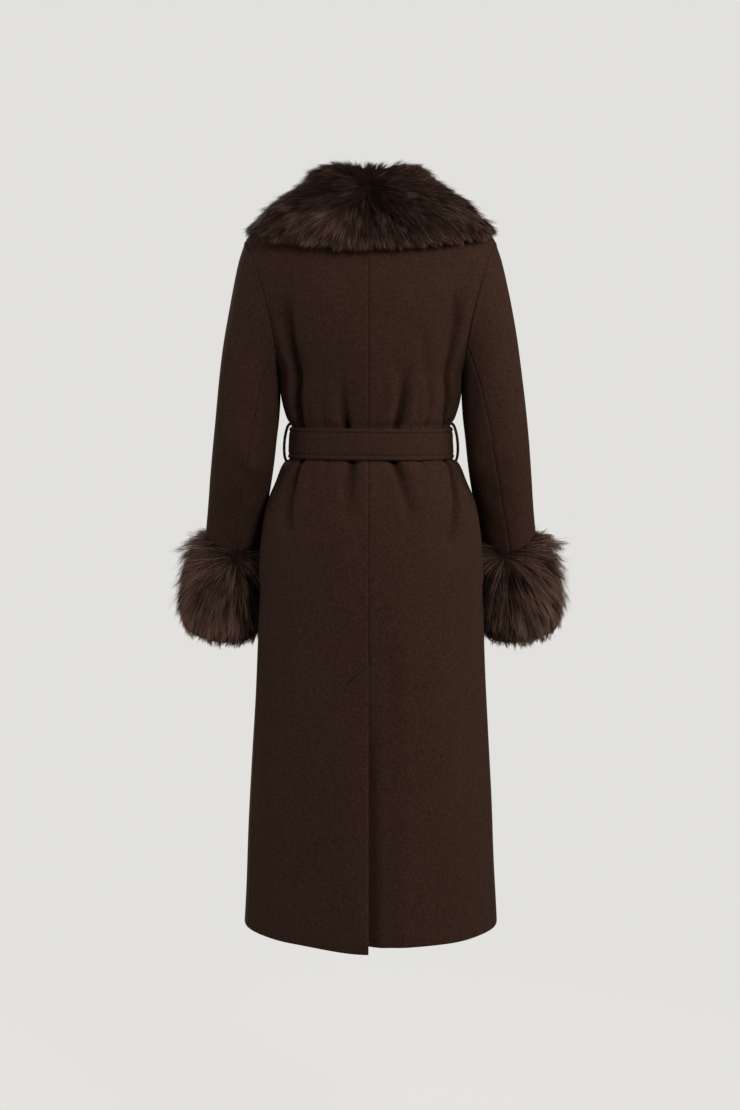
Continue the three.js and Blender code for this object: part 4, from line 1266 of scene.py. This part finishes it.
def cuff_surface():
    """The sleeve under the cuff, the cuff's pelt, and how far each point faces outwards."""
    share, turn = np.linspace(0, 1, 46)[:, None], np.linspace(0, 360, 73)[None, :]
    # No hair grows above the cuff's start, which dips at the back
    start = CUFF_START * np.clip(np.sin(np.radians(turn)), 0, 1) ** 2
    share = start + (1 - start) * share
    place = CUFF_TOP + CUFF_LONG * share
    grid = sleeve_point(place, turn)
    normal = ring_normals(grid, sleeve_middle(place[:, :-1]))
    facing = np.cos(np.radians(turn)) + 0 * place
    out, near, deep = (read(CUFF, name, place, by="place") for name in ("out", "in", "deep"))
    fur = deep + (np.where(facing > 0, out, near) - deep) * np.abs(facing)
    thick = 0.4 + 0.78 * fur * fade(share, start, start + 0.16) * (1 - 0.6 * fade(share, 0.93, 1))
    surface = grid + normal * thick[..., None] + CUFF_DROP * fade(share, 0.75, 1)[..., None]
    return grid + normal * 0.3, surface, facing


def cuff_patch(points):
    """The cuff's lower fur is painted lighter against the shade the lights above leave on it, and
    darker roots show where the hair parts.
    """
    x, y, z = np.abs(points[:, 0]), points[:, 1], points[:, 2]
    part = bell(x - 226, 22) * bell(z + 556, 13) * fade(y, -40, 0)
    # Painted light on the lower fur, against the shade it gets from above
    return 0.2 * fade(z, -600, -695) - 0.22 * part + 0.05 * np.sin(x / 11 + z / 17)


def cuff(side, sign, seed):
    mirror = np.array([sign, 1, 1])
    inner, surface, facing = cuff_surface()
    points, faces = shell(surface[:, :-1] * mirror, inner[:, :-1] * mirror, round_=True)
    piece = put(f"fur_cuff_{side}_pelt", points, faces, PELT, "fur")
    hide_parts(f"fur_cuff_{side}")
    normal = ring_normals(surface, surface[:, :-1].mean(axis=1, keepdims=True))
    flow = flow_from(CUFF_WHORL, surface, normal, CUFF_PULL)
    row = np.arange(surface.shape[0])[:, None] + 0 * facing
    length = CUFF_HAIR * (0.7 + 0.3 * fade(row, 0, 12)) * (1 - 0.62 * fade(row, 17, 42))
    lift = (0.17 + 0.18 * fade(row, 8, 0)) * (0.35 + 0.65 * fade(facing, -0.9, 0.2))
    grow(
        f"fur_cuff_{side}_hair", surface * mirror, normal * mirror, flow * mirror, 1450, 15,
        length, lift, seed, cuff_patch, clump=0.72, wide=0.4, droop=0.03, tuft_size=2.2,
        scatter=0.11, tone=0.76, steps=LONG_STEPS,
    )


cuff("left", 1, 31)
cuff("right", -1, 47)

# %% [markdown]
# The picture is a plain studio one: a pale, even backdrop and no hard shadow. A large soft light
# stands to the right of the camera and another beside the coat, so the coat's right is the
# brighter half; two weaker ones fill its left, and one lights the front, which faces away. The
# floor lies below the hem and fades out, so that no horizon shows.

# %% Backdrop, floor and lights
from mathutils import Vector

BACKDROP = (0.7605, 0.7529, 0.7230)
scene = bpy.context.scene
scene.view_settings.view_transform = "Standard"
world = bpy.data.worlds.new("Studio")
scene.world = world
world.use_nodes = True
sky = world.node_tree
sky.nodes.clear()
seen = add(sky, "ShaderNodeBackground", [("Color", (*BACKDROP, 1)), ("Strength", 1.0)])
light = add(sky, "ShaderNodeBackground", [("Color", (1.0, 0.98, 0.96, 1)), ("Strength", 0.27)])
ray = add(sky, "ShaderNodeLightPath")
links = [(0, ray.outputs["Is Camera Ray"]), (1, light.outputs[0]), (2, seen.outputs[0])]
mix = add(sky, "ShaderNodeMixShader", links)
add(sky, "ShaderNodeOutputWorld", [("Surface", mix.outputs[0])])


LIGHTS = [
    ("Key", (-1.7, 2.9, 1.7), 1.0, 118),
    ("Side", (-3.0, 0.5, 0.9), 1.4, 62),
    ("Fill", (2.6, 2.0, -0.3), 2.0, 15),
    ("Left", (3.0, -0.3, 0.3), 1.6, 34),
    ("Front", (1.2, -2.8, 1.2), 2.0, 95),
]
AIM = Vector((0, 0, -0.5))
for name, place, size, energy in LIGHTS:
    lamp = bpy.data.lights.new(name, "AREA")
    lamp.size, lamp.energy = size, energy
    item = bpy.data.objects.new(name, lamp)
    item.location = place
    item.rotation_euler = (AIM - Vector(place)).to_track_quat("-Z", "Y").to_euler()
    scene.collection.objects.link(item)
print("lights:", [row[0] for row in LIGHTS])

# %% Floor
FLOOR_Z, FLOOR_RADIUS = -1.62, 2.4


def floor():
    """A flat disc that fades out towards its rim."""
    rings, spokes = 12, 64
    r = np.linspace(0.02, 1, rings)[:, None] * FLOOR_RADIUS
    a = np.radians(np.arange(spokes) * 360 / spokes)
    points = np.stack([r * np.cos(a), r * np.sin(a), 0 * r * a + FLOOR_Z], -1)
    i, j = np.meshgrid(np.arange(rings - 1), np.arange(spokes), indexing="ij")
    base, beside = i * spokes + j, i * spokes + (j + 1) % spokes
    faces = np.stack([base, base + spokes, beside + spokes, beside], -1).reshape(-1, 4)
    data = bpy.data.meshes.new("floor")
    data.from_pydata(points.reshape(-1, 3).tolist(), [], faces.tolist())
    result, tree, shader = material("Floor")
    place = add(tree, "ShaderNodeTexCoord").outputs["Object"]
    links = [(0, place), (1, (1.0, 1.0, 0.0))]
    flat = add(tree, "ShaderNodeVectorMath", links, operation="MULTIPLY")
    far = add(tree, "ShaderNodeVectorMath", [(0, flat.outputs[0])], operation="LENGTH")
    links = [("Value", far.outputs["Value"]), ("From Min", 0.3), ("From Max", 2.2)]
    shown = add(tree, "ShaderNodeMapRange", [*links, ("To Min", 0.1), ("To Max", 0.0)])
    shown.interpolation_type = "SMOOTHSTEP"
    tree.links.new(shown.outputs["Result"], shader.inputs["Alpha"])
    shader.inputs["Base Color"].default_value = (0.74, 0.73, 0.70, 1)
    shader.inputs["Roughness"].default_value = 0.9
    data.materials.append(result)
    item = bpy.data.objects.new("floor", data)
    scene.collection.objects.link(item)


floor()

# %% Camera, at the height of the shoulders, tipped down a little
camera = bpy.data.objects.new("Camera", bpy.data.cameras.new("Camera"))
scene.collection.objects.link(camera)
scene.camera = camera
camera.location = (0.0016, 3.300, -0.232)
camera.rotation_euler = (np.radians(84.32), 0, np.pi)
camera.data.lens = 67.0
print("camera:", [round(v, 4) for v in camera.location])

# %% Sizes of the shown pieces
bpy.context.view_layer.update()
meshes = [item for item in scene.objects if item.type == "MESH" and not item.hide_render]
shown = [item for item in meshes if item.name != "floor"]
triangles = {
    item.name: sum(len(face.vertices) - 2 for face in item.data.polygons) for item in shown
}
largest = max(triangles, key=triangles.get)
print("triangles:", sum(triangles.values()), "largest:", largest, triangles[largest])
